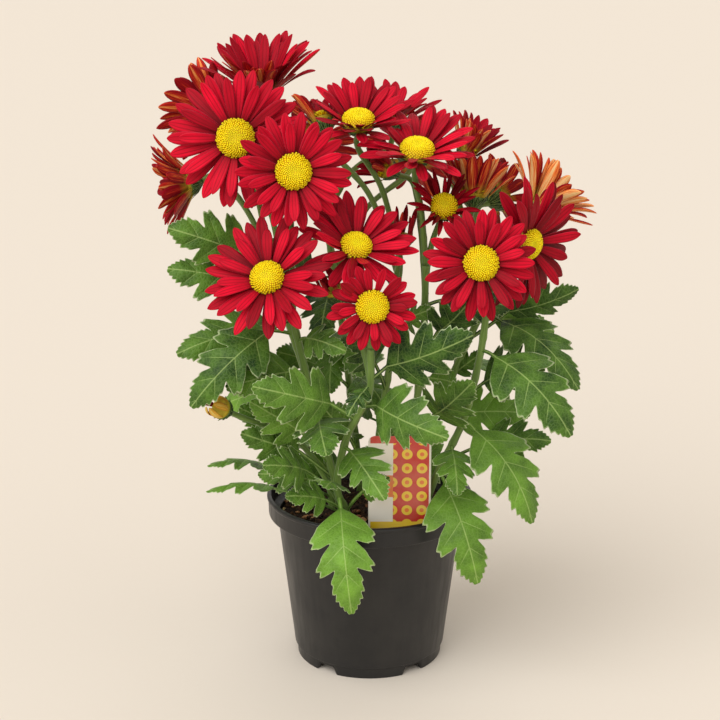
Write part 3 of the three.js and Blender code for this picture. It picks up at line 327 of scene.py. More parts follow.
# How far a petal's section turns from middle to edge, in radians: for a roll of 1, always, by
# chance and at least; how high its sides wave; and how much the tip curls, as a share
ROLL_TURN = 2.4
ROLL_ALWAYS = 0.22
ROLL_SHAKE = 0.42
ROLL_LEAST = 0.05
SIDE_WAVE = 0.3
TIP_CURL = 0.06

# A floret's rings: their heights as shares of its own, and their radii where it is shut or open
FLORET_HEIGHTS = np.array([0.0, 0.45, 0.82, 1.0])
FLORET_SHUT = np.array([0.8, 1.0, 0.95, 0.5])
FLORET_OPEN = np.array([0.7, 0.85, 1.05, 1.12])
FLORET_SINK = 0.7
CUSHION_SINK = 0.5
FLORET_PACKING = 3.1
FLORET_OVERLAP = 1.2

# The rows of bracts on a cup: the places on its line where they start and end
BRACT_ROWS = [(0.02, 0.52), (0.18, 0.78), (0.36, 1.0)]

# Lamps: name, strength, degrees that it spreads over, and where its light comes from. Key from
# the upper left, fill from the right, and one behind for the petals' edges.
LAMPS = [
    ("key", 2.45, 60, (-0.7, -1.0, 1.15)),
    ("fill", 0.4, 70, (1.2, -0.9, 0.7)),
    ("rim", 0.5, 50, (0.35, 1.1, 1.2)),
]
AIR_STRENGTH = 0.6
FLOOR_REACH = 14
CAMERA_PLACE = (-0.006, -1.0, 0.49)
CAMERA_DOWN = 16.45
CAMERA_LENS = 84
CAMERA_SENSOR = 36


def srgb(code):
    """A #rrggbb colour as the linear numbers that shaders work in: the sRGB curve undone."""
    value = np.array([int(code[k:k + 2], 16) for k in (1, 3, 5)]) / 255
    return tuple(np.where(value <= 0.04045, value / 12.92, ((value + 0.055) / 1.055) ** 2.4))


def random_from(seed):
    """Seeded numbers between 0 and 1, the same ones as in the part's source."""
    word = 0xFFFFFFFF
    state = seed & word
    while True:
        state = (state + 0x6D2B79F5) & word
        mixed = ((state ^ (state >> 15)) * (state | 1)) & word
        mixed ^= (mixed + (((mixed ^ (mixed >> 7)) * (mixed | 61)) & word)) & word
        yield (mixed ^ (mixed >> 14)) / 2 ** 32


def unit(vectors):
    """Each vector divided by its length."""
    return vectors / np.linalg.norm(vectors, axis=-1, keepdims=True)


def once_round(count):
    """Even headings once round, in radians."""
    return np.arange(count) * 2 * math.pi / count


def smooth_path(points, steps):
    """Points along a curve through the given ones: on each span a cubic whose slope at a point is
    half the step between its neighbours. steps is a count of even steps, or an array of shares."""
    points = np.asarray(points, float)
    ends = np.vstack([2 * points[0] - points[1], points, 2 * points[-1] - points[-2]])
    share = np.linspace(0, 1, steps) if np.ndim(steps) == 0 else np.asarray(steps, float)
    place = share * (len(points) - 1)
    span = np.minimum(place.astype(int), len(points) - 2)
    t = (place - span)[:, None]
    before, start, end, after = (ends[span + k] for k in range(4))
    leave, arrive = (end - before) / 2, (after - start) / 2
    return (start + leave * t + (3 * (end - start) - 2 * leave - arrive) * t ** 2
            + (2 * (start - end) + leave + arrive) * t ** 3)


def facing(bloom):
    """A bloom's frame: the middle of its disc, the way it faces, and two directions across it."""
    yaw, pitch = math.radians(bloom.yaw), math.radians(bloom.pitch)
    face = np.array([math.sin(yaw) * math.cos(pitch), -math.cos(yaw) * math.cos(pitch),
                     math.sin(pitch)])
    side = unit(np.cross(UP, face))
    return np.array(bloom.centre, float), face, side, np.cross(face, side)


def stem_points(name):
    """The points of a main stem: straight up out of the soil, then through its own points."""
    (x, y), *points = STEMS[name]
    return [(x, y, STEM_FOOT), (x, y, SOIL_EDGE_HEIGHT + 2), (x, y, STEM_LEVEL), *points]


def stem_place(name, share):
    """A place on a stem, as a share of its way from the soil to its top."""
    spans = len(STEMS[name]) + 1
    return smooth_path(stem_points(name), [(1 + share * (spans - 1)) / spans])[0]


def stalk_points(bloom):
    """The four points of a bloom's stalk: on the stem, a bend, below the calyx, in the calyx."""
    centre, face, _, _ = facing(bloom)
    start = stem_place(bloom.stem, bloom.at)
    neck = centre - face * (CALYX_DEPTH + HUB_DEPTH + 12)
    bend = (start + neck) / 2 + UP * 0.12 * np.linalg.norm(start - neck)
    bend[:2] += (start[:2] - bend[:2]) * 0.15
    return [start, bend, neck, centre - face * (CALYX_DEPTH + HUB_DEPTH)]


class Clearance:
    """Sample points of everything placed so far, which later pieces have to miss."""

    def __init__(self):
        self.families, self.clouds, self.radii, self.middles, self.bounds = [], [], [], [], []

    def remember(self, family, points, radius):
        middle = points.mean(axis=0)
        self.families.append(family)
        self.clouds.append(points)
        self.radii.append(radius)
        self.middles.append(middle)
        self.bounds.append(np.linalg.norm(points - middle, axis=1).max() + radius)

    def is_clear(self, family, points, radius):
        middle = points.mean(axis=0)
        bound = np.linalg.norm(points - middle, axis=1).max() + radius
        apart = np.linalg.norm(np.array(self.middles) - middle, axis=1)
        for index in np.flatnonzero(apart <= bound + np.array(self.bounds)):
            if self.families[index] == family:
                continue
            gaps = ((points[:, None] - self.clouds[index][None]) ** 2).sum(axis=-1)
            if gaps.min() <= (radius + self.radii[index]) ** 2:
                return False
        return True


def petal_line(petal, share):
    """The petal's middle line and, along it, the way its front looks and its width runs. The lift
    above the disc's plane goes evenly from root to tip, so the line is an arc."""
    centre, face, side, lift = petal["frame"]
    out = math.cos(petal["turn"]) * side + math.sin(petal["turn"]) * lift
    start, end = petal["lift"]
    change = end - start if abs(end - start) >= 0.01 else 0.01
    share = np.asarray(share, float)[:, None]
    now = start + change * share
    run = petal["length"] * (np.sin(now) - math.sin(start)) / change
    rise = petal["length"] * (math.cos(start) - np.cos(now)) / change
    root = petal["disc"] + PETAL_ROOT + LAYER_OUT[petal["layer"]] * math.sin(start)
    middle = centre + out * (root + run) + face * (rise - LAYER_SINK[petal["layer"]])
    ahead = out * np.cos(now) + face * np.sin(now)
    front = face * np.cos(now) - out * np.sin(now)
    twist = petal["twist"] * share
    front = front * np.cos(twist) + np.cross(ahead, front) * np.sin(twist)
    return middle, front, np.cross(ahead, front)


def petal_half(share):
    """Half the solid petal's width: a quarter sine out to two thirds, then rounded off."""
    grow = 0.38 + 0.62 * np.sin(np.minimum(share / PETAL_WIDEST, 1) * np.pi / 2)
    close = np.sqrt(1 - np.clip((share - PETAL_WIDEST) / (1 - PETAL_WIDEST), 0, 1) ** 2.4)
    return np.where(share < PETAL_WIDEST, grow, close)


def petal_samples(petal, start):
    """Points across the petal at several places along it, for the clearance rule."""
    share = SAMPLE_SHARES[SAMPLE_SHARES > start]
    middle, _, width = petal_line(petal, share)
    half = petal["half"] * np.maximum(petal_half(np.minimum(share, 0.94)), 0.2)
    across = width[:, None] * (half[:, None] * SAMPLE_SIDES)[..., None]
    return (middle[:, None] + across).reshape(-1, 3)


def place_petal(clear, family, own, petal):
    """Bends a petal, and then shortens it, until it is clear of its neighbours. own holds the
    bloom's earlier petals, or is None where those don't count."""
    for cut in CUTS:
        for bend in BENDS:
            root, tip = petal["lift"]
            lift = [root + math.radians(bend * 0.4), tip + math.radians(bend)]
            tried = {**petal, "length": petal["length"] * cut, "lift": lift}
            points, outer = petal_samples(tried, 0), petal_samples(tried, OWN_FROM)
            if own:
                near = ((outer[:, None] - np.vstack(own)[None]) ** 2).sum(axis=-1)
                if near.min() <= OWN_REACH ** 2:
                    continue
            if clear.is_clear(family, points, PETAL_RADIUS):
                clear.remember(family, points, PETAL_RADIUS)
                if own is not None:
                    own.append(outer)
                return tried
    return None


def shaken_petal(bloom, layer, k, steps, slim, shake):
    """Petal k of so many in a layer. Its turn, length, lift and twist are the layer's, each with
    the layer's swing times its own shake."""
    turn, length, lift, twist = LAYER_SHAKE[layer] * np.asarray(shake)
    settle = LAYER_LIFT[layer] + lift
    return {
        "frame": facing(bloom), "disc": bloom.disc - LAYER_IN[layer], "layer": layer,
        "turn": (k + LAYER_TURN[layer] + turn) * 2 * math.pi / steps,
        "length": bloom.length * (LAYER_LENGTH[layer] + length),
        "half": (bloom.length * PETAL_HALF_SHARE + PETAL_HALF_LEAST) * slim,
        "twist": math.radians(twist),
        "lift": [math.radians(angle + settle) for angle in bloom.lift],
    }


def petals_of(clear, bloom, seed):
    """All petals of a bloom: an upper and a lower layer of the same number, half a step apart."""
    steps, slim = bloom.petals // 2, SLIM.get(bloom.name, 1)
    draw = random_from(seed)
    own, petals = [], []
    for layer in (0,) if bloom.name in SLIM else (0, 1):
        for k in range(steps):
            shake = [next(draw) - 0.5 for _ in range(4)]
            petal = shaken_petal(bloom, layer, k, steps, slim, shake)
            petals.append(place_petal(clear, bloom.name, own, petal))
    return [petal for petal in petals if petal is not None]


def inner_petals(clear, bloom, seed):
    """Shorter petals of a last row in front of the others, where they have room."""
    steps = EXTRA_IN.get(bloom.name, EXTRA_PETALS)
    draw = np.random.default_rng(seed)
    petals = []
    for k in range(steps):
        petal = shaken_petal(bloom, 2, k, steps, INNER_SLIM, draw.uniform(-0.5, 0.5, 4))
        petals.append(place_petal(clear, bloom.name, None, petal))
    return [petal for petal in petals if petal is not None]


def leaf_frame(stem, at, tip, blade, roll, bow, slim):
    """The leaf's own frame: its place on the stem, where the blade starts, the blade's length
    direction, side and normal. The normal leans up, outwards and, at the front, to the light."""
    start, tip = stem_place(stem, at), np.array(tip, float)
    reach = np.linalg.norm(tip - start)
    blade = min(blade, reach * BLADE_MOST)
    base = start + (tip - start) * (1 - blade / reach) + UP * (0.16 * (reach - blade) + 2)
    length = np.linalg.norm(tip - base)
    ahead = (tip - base) / length
    outward = unit(tip * (1, 1, 0))
    normal = UP * 0.6 + outward * 0.4 + FRONT * (0.75 if tip[1] < 20 else 0)
    normal = unit(normal - ahead * normal.dot(ahead))
    turn = math.radians(roll)
    normal = normal * math.cos(turn) + np.cross(ahead, normal) * math.sin(turn)
    return {"start": start, "base": base, "ahead": ahead, "normal": normal, "length": length,
            "side": np.cross(ahead, normal), "bow": bow, "slim": slim, "tip": tip}


def leaf_point(leaf, share, out):
    """A point of the blade from its shares along and out: the midrib bows up in a parabola, and
    the halves dip in step with how far out they are."""
    share, out = np.asarray(share, float)[..., None], np.asarray(out, float)[..., None]
    rise = (4 * leaf["bow"] * share * (1 - share)
            - 0.22 * np.abs(out) * leaf["length"] * (0.4 + share))
    return (leaf["base"] + leaf["ahead"] * share * leaf["length"]
            + leaf["side"] * out * leaf["length"] * leaf["slim"] + leaf["normal"] * rise)


def leaf_samples(leaf):
    """Points over petiole, blade and lobe tips, for the clearance rule."""
    along = (0.3 + 0.1 * np.arange(8))[:, None]
    points = [leaf["start"] + (leaf["base"] - leaf["start"]) * along]
    for row in range(1, 13):
        share = row / 12
        reach = 0.05 + 0.3 * max(0, math.sin(min(1, share * 1.15) * math.pi)) ** 0.8
        across = max(1, math.floor(reach * leaf["length"] / 3.2 + 0.5))
        out = reach * np.arange(-across, across + 1) / across
        points.append(leaf_point(leaf, np.full(out.shape, share), out))
    points.append(leaf_point(leaf, np.tile(LEAF_SIDE[:, 0], 2),
                             np.concatenate([LEAF_SIDE[:, 1], -LEAF_SIDE[:, 1]])))
    return np.vstack(points)


def place_leaf(clear, stem, at, tip, blade, roll, bow, slim):
    """Swings a leaf up or down, and then shortens it, until it is clear of other stems' leaves."""
    for cut in LEAF_CUTS:
        for shift in LEAF_SHIFTS:
            start = stem_place(stem, at)
            tried = start + (np.array(tip) - start) * cut + UP * shift
            leaf = leaf_frame(stem, at, tried, blade * cut, roll, bow, slim)
            points = leaf_samples(leaf)
            if clear.is_clear(stem, points, LEAF_RADIUS):
                clear.remember("leaf on " + stem, points, LEAF_RADIUS)
                return leaf
    return None


def run_leaves(stem, first, last, count, headings, reach, seed):
    """Leaves of a run: evenly up the stem, their headings swinging from the first to the last."""
    draw = random_from(seed)
    leaves = []
    for k in range(count):
        share = k / (count - 1)
        at = first + (last - first) * share
        start = stem_place(stem, at)
        stride = share * 0.5 if k % 2 == 0 else 1 - share * 0.5
        heading = math.radians(headings[0] + (headings[1] - headings[0]) * stride
                               + 20 * (next(draw) - 0.5))
        out = reach * (0.9 + 0.2 * next(draw))
        drop = -8 - 22 * next(draw)
        tip = start + (out * math.sin(heading), -out * math.cos(heading), drop)
        leaves.append((stem, at, tip, out * RUN_BLADE, 16 * (next(draw) - 0.5), 6, 1))
    return leaves


@functools.cache
def planting():
    """Places every petal and leaf by the solids' rule: {head: petals}, {stem: leaves}."""
    clear = Clearance()
    turn, height, radius = np.meshgrid(
        np.radians(4 * np.arange(90)), POT_HEIGHT - np.array([0, 5, 10, 15]),
        [RIM_RADIUS - 6, RIM_RADIUS - 1], indexing="ij")
    rim = np.stack([radius * np.cos(turn), radius * np.sin(turn), height], axis=-1)
    clear.remember("pot", rim.reshape(-1, 3), RIM_CLEARANCE)
    x, z = np.meshgrid(np.arange(-TAG_WIDTH / 2, TAG_WIDTH / 2 + 0.1, 3),
                       np.arange(TAG_BOTTOM, TAG_TOP + 0.1, 3), indexing="ij")
    card = np.stack([TAG_CENTRE[0] + x, np.full(x.shape, float(TAG_CENTRE[1])), z], axis=-1)
    clear.remember("tag", card.reshape(-1, 3), CARD_CLEARANCE)
    x, y = np.meshgrid(np.arange(-55, 56, 5), np.arange(-55, 56, 5), indexing="ij")
    ground = np.stack([x, y, np.full(x.shape, SOIL_EDGE_HEIGHT)], axis=-1).reshape(-1, 3)
    ground = ground[np.hypot(ground[:, 0], ground[:, 1]) < SOIL_RADIUS + 1].astype(float)
    clear.remember("soil", ground, SOIL_CLEARANCE)
    for name in STEMS:
        clear.remember(name, smooth_path(stem_points(name), 71), STEM_RADIUS + STEM_SPARE)
    heads = [*BLOOMS, *BUDS]
    for bloom in heads:
        centre, face, side, lift = facing(bloom)
        turn = np.arange(8)[:, None] * math.pi / 4
        ring = centre + 0.6 * bloom.disc * (side * np.cos(turn) + lift * np.sin(turn)) - face * 2
        core = np.vstack([centre + face, centre - face * 4, ring])
        clear.remember(bloom.name, core, bloom.disc * CORE_CLEARANCE)
        stalk = smooth_path(stalk_points(bloom), 31)[:28]
        clear.remember(bloom.stem, stalk, STALK_RADIUS + STEM_SPARE)
    petals = {bloom.name: petals_of(clear, bloom, PETAL_SEED + k) for k, bloom in enumerate(heads)}
    leaves = {name: [] for name in STEMS}
    runs = [leaf for k, run in enumerate(LEAF_RUNS) for leaf in run_leaves(*run, RUN_SEED + k)]
    for leaf in [*LEAVES, *runs]:
        placed = place_leaf(clear, *leaf)
        if placed is not None:
            leaves[leaf[0]].append(placed)
    for k, bloom in enumerate(BLOOMS):
        petals[bloom.name] += inner_petals(clear, bloom, INNER_SEED + k)
    return petals, leaves


class Shell:
    """One piece while it is made: closed surfaces, each a pile of rings, and what they carry. A
    face's finish is its place in the list of finishes."""

    def __init__(self, *finishes):
        self.finishes = finishes
        self.points, self.quads, self.tris, self.uv, self.count = [], [], [], [], 0
        self.quad_finish, self.tri_finish, self.values = [], [], []

    def add(self, rings, first, last, finish=0, uv=None, **values):
        """Adds closed surfaces. rings is (copies, rings, around, 3), first and last are the points
        that close the ends. Faces join each ring to the next, and a copy whose volume comes out
        negative has its faces turned round, so that all point outwards."""
        rings = np.asarray(rings, float)
        copies, levels, around, _ = rings.shape
        total = levels * around
        points = np.concatenate([rings.reshape(copies, total, 3), np.reshape(first, (copies, 1, 3)),
                                 np.reshape(last, (copies, 1, 3))], axis=1)
        here = np.arange(total).reshape(levels, around)
        beside = np.roll(here, -1, axis=1)
        quads = np.stack([here[:-1], beside[:-1], beside[1:], here[1:]], axis=-1).reshape(-1, 4)
        caps = np.concatenate([
            np.stack([np.full(around, total), beside[0], here[0]], axis=-1),
            np.stack([np.full(around, total + 1), here[-1], beside[-1]], axis=-1)])
        split = np.concatenate([quads[:, :3], quads[:, [0, 2, 3]], caps])
        corners = (points - points.mean(axis=1, keepdims=True))[:, split]
        volume = (corners[:, :, 0] * np.cross(corners[:, :, 1], corners[:, :, 2])).sum(axis=(1, 2))
        base = self.count + np.arange(copies)[:, None, None] * (total + 2)
        for faces, kept, marks in ((quads, self.quads, self.quad_finish),
                                   (caps, self.tris, self.tri_finish)):
            turned = np.where(volume[:, None, None] < 0, faces[None, :, ::-1], faces[None])
            kept.append((turned + base).reshape(-1, faces.shape[1]))
            marks.append(np.full(copies * len(faces), finish))
        self.points.append(points.reshape(-1, 3))
        self.count += copies * (total + 2)
        uv = np.zeros((copies, levels, around, 2)) if uv is None else np.broadcast_to(
            uv, (copies, levels, around, 2))
        self.uv.append(np.concatenate([uv.reshape(copies, total, 2), uv[:, 0].mean(axis=1)[:, None],
                                       uv[:, -1].mean(axis=1)[:, None]], axis=1).reshape(-1, 2))
        spread = {}
        for name, value in values.items():
            value = np.asarray(value, float)
            if value.ndim == 1:
                value = value[:, None, None]
            value = np.broadcast_to(value, (copies, levels, around))
            spread[name] = np.concatenate([
                value.reshape(copies, total), value[:, 0].mean(axis=1)[:, None],
                value[:, -1].mean(axis=1)[:, None]], axis=1).ravel()
        self.values.append((copies * (total + 2), spread))

    def make(self, name, nodes):
        """Turns the surfaces into one object that stands for these nodes. A tip that curls past the
        solids' box stops at it."""
        mesh = bpy.data.meshes.new(name)
        quads, tris = np.concatenate(self.quads), np.concatenate(self.tris)
        points = np.clip(np.concatenate(self.points) * MM, *np.array(CAD_BOX))
        mesh.from_pydata(points.tolist(), [], quads.tolist() + tris.tolist())
        marks = np.concatenate(self.quad_finish + self.tri_finish).astype(np.int32)
        mesh.polygons.foreach_set("material_index", marks)
        mesh.polygons.foreach_set("use_smooth", np.ones(len(mesh.polygons), bool))
        corner = np.empty(len(mesh.loops), np.int32)
        mesh.loops.foreach_get("vertex_index", corner)
        layer = mesh.uv_layers.new(name="growth")
        layer.data.foreach_set("uv", np.concatenate(self.uv)[corner].astype(np.float32).ravel())
        for key in sorted({key for _, spread in self.values for key in spread}):
            value = np.concatenate(
                [spread.get(key, np.zeros(size)) for size, spread in self.values])
            mesh.attributes.new(key, "FLOAT", "POINT").data.foreach_set(
                "value", value.astype(np.float32))
        for finish in self.finishes:
            mesh.materials.append(finish())
        mesh.update()
        piece = bpy.data.objects.new(name, mesh)
        bpy.context.scene.collection.objects.link(piece)
        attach(piece, "root")
        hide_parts(*nodes)
        return piece


def tube(path, radius, around, ribs=0):
    """Rings round a path: at each point a circle across the path's direction, its radius swelling
    by a twentieth on each rib. The circles turn from the direction that the path least runs in."""
    ahead = unit(np.gradient(path, axis=0))
    steady = np.linalg.svd(ahead, full_matrices=False)[2][-1]
    side = unit(np.cross(ahead, steady))
    lift = np.cross(side, ahead)
    turn = once_round(around)
    reach = np.broadcast_to(radius, len(path))[:, None] * (1 + 0.05 * np.cos(ribs * turn))
    return (path[:, None] + reach[..., None]
            * (side[:, None] * np.cos(turn)[:, None] + lift[:, None] * np.sin(turn)[:, None]))[None]


def both_faces(columns):
    """Places round a blade's section: across the front from edge to edge, and back behind. Gives
    where each is across (-1 to 1) and on which face (1 front, 0 edge, -1 back)."""
    across = np.linspace(-1, 1, columns)
    face = np.concatenate([[0], np.ones(columns - 2), [0], -np.ones(columns - 2)])
    return np.concatenate([across, across[-2:0:-1]]), face


def blade_half(share):
    """Half a petal's width: a quarter sine out to two thirds, then a blunt point."""
    grow = 0.5 + 0.5 * np.sin(np.clip(share / PETAL_WIDEST, 0, 1) * np.pi / 2)
    close = (1 - np.clip((share - PETAL_WIDEST) / (1 - PETAL_WIDEST), 0, 1) ** 2.1) ** 0.72
    return np.where(share < PETAL_WIDEST, grow, close)


def turned(bloom, radius, height, around):
    """A profile turned about a bloom's axis: rings of these radii, at these heights over the
    disc's plane."""
    centre, face, side, lift = facing(bloom)
    turn = once_round(around)
    out = side * np.cos(turn)[:, None] + lift * np.sin(turn)[:, None]
    return (centre + out[None] * radius[:, None, None] + face * height[:, None, None])[None]


def add_petals(shell, bloom, petals, thickness, seed):
    """Petals as closed blades. Across each, the section is an arc that rolls in or back by the
    petal's own amount; two grooves, bell curves in section, run along the front; the sides wave
    as a sine and the tip curls as a square, a little; thickness falls to nothing at the edges as
    a half ellipse."""
    draw = np.random.default_rng(seed)
    share = PETAL_STATIONS
    across, face = both_faces(PETAL_COLUMNS)
    lines = [petal_line(petal, share) for petal in petals]
    middle, front, width = (np.stack(part)[:, :, None] for part in zip(*lines))
    count = len(petals)
    shake = draw.uniform(-1, 1, (5, count, 1, 1))
    half = np.array([petal["half"] for petal in petals])[:, None, None]
    length = np.array([petal["length"] for petal in petals])[:, None, None]
    half = half * blade_half(share)[None, :, None] * (1 - 0.25 * max(0, bloom.roll - 0.2))
    roll = bloom.roll * ROLL_TURN + ROLL_ALWAYS + ROLL_SHAKE * shake[0]
    roll = np.where(np.abs(roll) < ROLL_LEAST, ROLL_LEAST, roll)
    roll = roll * (0.35 + 0.65 * share)[None, :, None]
    aside = half * np.sin(roll * across) / roll
    rise = half * (1 - np.cos(roll * across)) / roll
    bell = np.exp(-((np.abs(across) - GROOVE_PLACE) / GROOVE_WIDTH) ** 2)
    groove = GROOVE_DEPTH * bell * (face > 0)
    wave = SIDE_WAVE * shake[1] * np.sin(5 * share[None, :, None] + 3 * shake[2]) * across ** 2
    curl = (TIP_CURL * shake[3] * length
            * np.clip(share - 0.6, 0, 1)[None, :, None] ** 2 * 5)
    skin = thickness / 2 * face * np.sqrt(1 - across ** 2 * 0.92)
    lift = rise - groove + wave + curl + skin
    rings = middle + width * aside[..., None] + front * lift[..., None]
    ends = np.stack([petal_line(petal, [-0.03, 1.0])[0] for petal in petals])
    tip = ends[:, 1] + front[:, -1, 0] * curl[:, -1] * 1.1
    uv = np.stack(np.broadcast_arrays(share[:, None], (across[None] + 1) / 2), axis=-1)[None]
    shell.add(rings, ends[:, 0], tip, 0, uv, reverse=(1 - face) / 2 + np.zeros((count, 1, 1)),
              tone=shake[4, :, 0, 0], ripe=np.full(count, bloom.ripe),
              cream=np.full(count, CREAM.get(bloom.name, USUAL_CREAM)))


def dome(disc, share):
    """Height of the floret cushion at a share of its radius: flat-topped, a little hollow in the
    middle, falling away as the 4.5th power."""
    return disc * DISC_RISE * (1 - share ** 4.5) * (0.92 + 0.08 * np.minimum(share / 0.44, 1) ** 2)


def add_florets(shell, bloom, width, seed):
    """A cushion with florets on it in a spiral: floret n stands n golden angles round, at the
    square root of its share of their number. The outer ones are open cups, the inner ones beads."""
    centre, face, side, lift = facing(bloom)
    disc = bloom.disc
    draw = np.random.default_rng(seed)
    level = np.array([0.99, 0.93, 0.8, 0.6, 0.35, 0.12])
    radius = np.concatenate([[disc * 0.9, disc * 0.96], level * disc * 0.96])
    height = np.concatenate([[-DISC_BASE, -DISC_BASE], dome(disc, level) - CUSHION_SINK])
    shell.add(turned(bloom, radius, height, 24), centre - face * DISC_BASE,
              centre + face * (dome(disc, 0) - CUSHION_SINK), tone=np.array([-1.0]),
              open=np.array([0.0]))
    count = int(FLORET_PACKING * disc ** 2 / (width / FLORET_OVERLAP) ** 2)
    order = np.arange(count) + 0.5
    share = np.sqrt(order / count) * 0.985
    spin = order * GOLDEN_ANGLE + draw.uniform(-0.03, 0.03, count)
    slope = (dome(disc, share) - dome(disc, np.minimum(share + 0.02, 1))) / (0.02 * disc)
    away = side * np.cos(spin)[:, None] + lift * np.sin(spin)[:, None]
    axis = unit(face + away * np.minimum(slope, 1.6)[:, None])
    foot = (centre + away * (share * disc)[:, None]
            + face * (dome(disc, np.minimum(share, 0.995)) - FLORET_SINK)[:, None])
    opened = np.clip((share - 0.7) / 0.14 + draw.uniform(-0.3, 0.3, count), 0, 1)
    tall = 0.8 + 0.75 * share + draw.uniform(-0.15, 0.15, count) + 0.25 * opened
    across = unit(np.cross(axis, face + side * 0.31 + lift * 0.17))
    other = np.cross(axis, across)
    points = once_round(5)
    size = width * (0.36 + 0.12 * share)
    reach = size[:, None] * (FLORET_SHUT * (1 - opened[:, None]) + FLORET_OPEN * opened[:, None])
    circle = (across[:, None] * np.cos(points)[:, None] + other[:, None] * np.sin(points)[:, None])
    rings = (foot[:, None, None] + circle[:, None] * reach[..., None, None]
             + axis[:, None, None] * (FLORET_HEIGHTS * tall[:, None])[..., None, None])
    top = foot + axis * (tall * (1.02 - 0.35 * opened))[:, None]
    crown = np.broadcast_to(FLORET_HEIGHTS[None, :, None], rings.shape[:3])
    shell.add(rings, foot - axis * 0.1, top, tone=draw.uniform(-1, 1, count),
              open=share[:, None, None] + 0 * crown, crown=crown)


def add_hub(shell, bloom):
    """The receptacle that carries the petals: turned from the solids' three rings, rounded."""
    centre, face, _, _ = facing(bloom)
    disc = bloom.disc
    top, bottom = -0.75, -4.3
    section = smooth_path([(disc * 0.5, top, 0), (disc + 0.4, top, 0), (disc + 0.6, -2.2, 0),
                           (disc - 0.6, -4.1, 0), (disc * 0.5, bottom, 0)], 13)
    shell.add(turned(bloom, section[:, 0], section[:, 1], 24), centre + face * top,
              centre + face * bottom, reverse=np.array([1.0]), tone=np.array([-1.0]),
              ripe=np.array([0.0]), cream=np.array([0.4]))


def cup_section(disc, place):
    """The green cup under a bloom, from the stalk (place 0) to the petals' roots (1): radius and
    height on a smooth line."""
    points = [(1.9, -10.6, 0), (disc * 0.5, -9.0, 0), (disc * 0.82, -6.6, 0),
              (disc + 0.1, -4.2, 0), (disc + 1.3, -2.6, 0)]
    line = smooth_path(points, np.clip(place, 0, 1))
    return line[:, 0], line[:, 1]


def add_calyx(shell, bloom, stem, leaf, seed):
    """A cup with three rows of bracts lying on it like roof tiles. A bract runs up the cup's own
    line, is widest at a third as a sine, and its tip stands off by half a millimetre. stem and
    leaf are the finishes of the cup and the bracts."""
    centre, face, side, lift = facing(bloom)
    disc = bloom.disc
    draw = np.random.default_rng(seed)
    radius, height = cup_section(disc, np.linspace(0, 0.86, 8))
    shell.add(turned(bloom, radius, height, 20), centre - face * 10.7, centre - face * 4.2, stem,
              tone=np.array([-0.2]), along=np.array([0.5]))
    place = np.array([0.0, 0.22, 0.45, 0.68, 0.88])
    across, cover = both_faces(4)
    count = int(9 + disc * 0.7)
    for row, (low, high) in enumerate(BRACT_ROWS):
        heading = np.arange(count) + row / 2 + draw.uniform(-0.2, 0.2, count)
        heading = heading * 2 * math.pi / count
        top = high * (1 + draw.uniform(-0.06, 0.0, count))
        where = low + (top - low)[:, None] * place
        radius, height = (part.reshape(where.shape) for part in cup_section(disc, where.ravel()))
        spread = radius + 0.25 + 0.5 * place ** 2
        wide = 0.42 * (disc * 0.16 + 0.9) * np.sin((0.25 + 0.75 * place) * math.pi) ** 0.7 + 0.12
        angle = heading[:, None, None] + (wide[None, :, None] * across / spread[..., None])
        reach = spread[..., None] + 0.28 * cover * np.sqrt(1 - across ** 2 * 0.9)
        outward = side * np.cos(angle)[..., None] + lift * np.sin(angle)[..., None]
        height = (height[..., None] + 0 * angle)[..., None]
        rings = centre + outward * reach[..., None] + face * height
        ray = side * np.cos(heading)[:, None] + lift * np.sin(heading)[:, None]
        radius, height = cup_section(disc, top)
        tip = centre + ray * (radius + 0.9)[:, None] + face * (height + 0.3)[:, None]
        radius, height = cup_section(disc, np.full(count, low))
        root = centre + ray * radius[:, None] + face * (height - 0.2)[:, None]
        uv = np.stack(np.broadcast_arrays(place[:, None], (across[None] + 1) / 2), axis=-1)[None]
        shell.add(rings, root, tip, leaf, uv, tone=draw.uniform(-0.9, 0.1, count) - 0.4,
                  reach=2.0 * across + np.zeros((count, 1, 1)),
                  reverse=(1 - cover) / 2 + np.zeros((count, 1, 1)))


def add_stem(shell, path, radius, finish, seed, around=14, ribs=5):
    """A ribbed stem that swells a little at its joints, a bell curve round each. They are about
    24 mm apart."""
    draw = np.random.default_rng(seed)
    length = np.concatenate([[0], np.cumsum(np.linalg.norm(np.diff(path, axis=0), axis=1))])
    joints = np.arange(18, length[-1], 24)
    joints = joints + draw.uniform(-4, 4, len(joints))
    swell = np.exp(-((length[:, None] - joints) / 2.2) ** 2).sum(axis=1)
    size = radius * (1 + 0.16 * swell)
    rings = tube(path, size, around, ribs)
    along = np.broadcast_to(length[None, :, None], (1, len(path), around))
    turn = np.broadcast_to(np.arange(around) / around, (1, len(path), around))
    shell.add(rings, path[0], path[-1], finish, np.stack([along / 100, turn], axis=-1),
              along=along / 400, tone=np.array([draw.uniform(-0.5, 0.5)]))


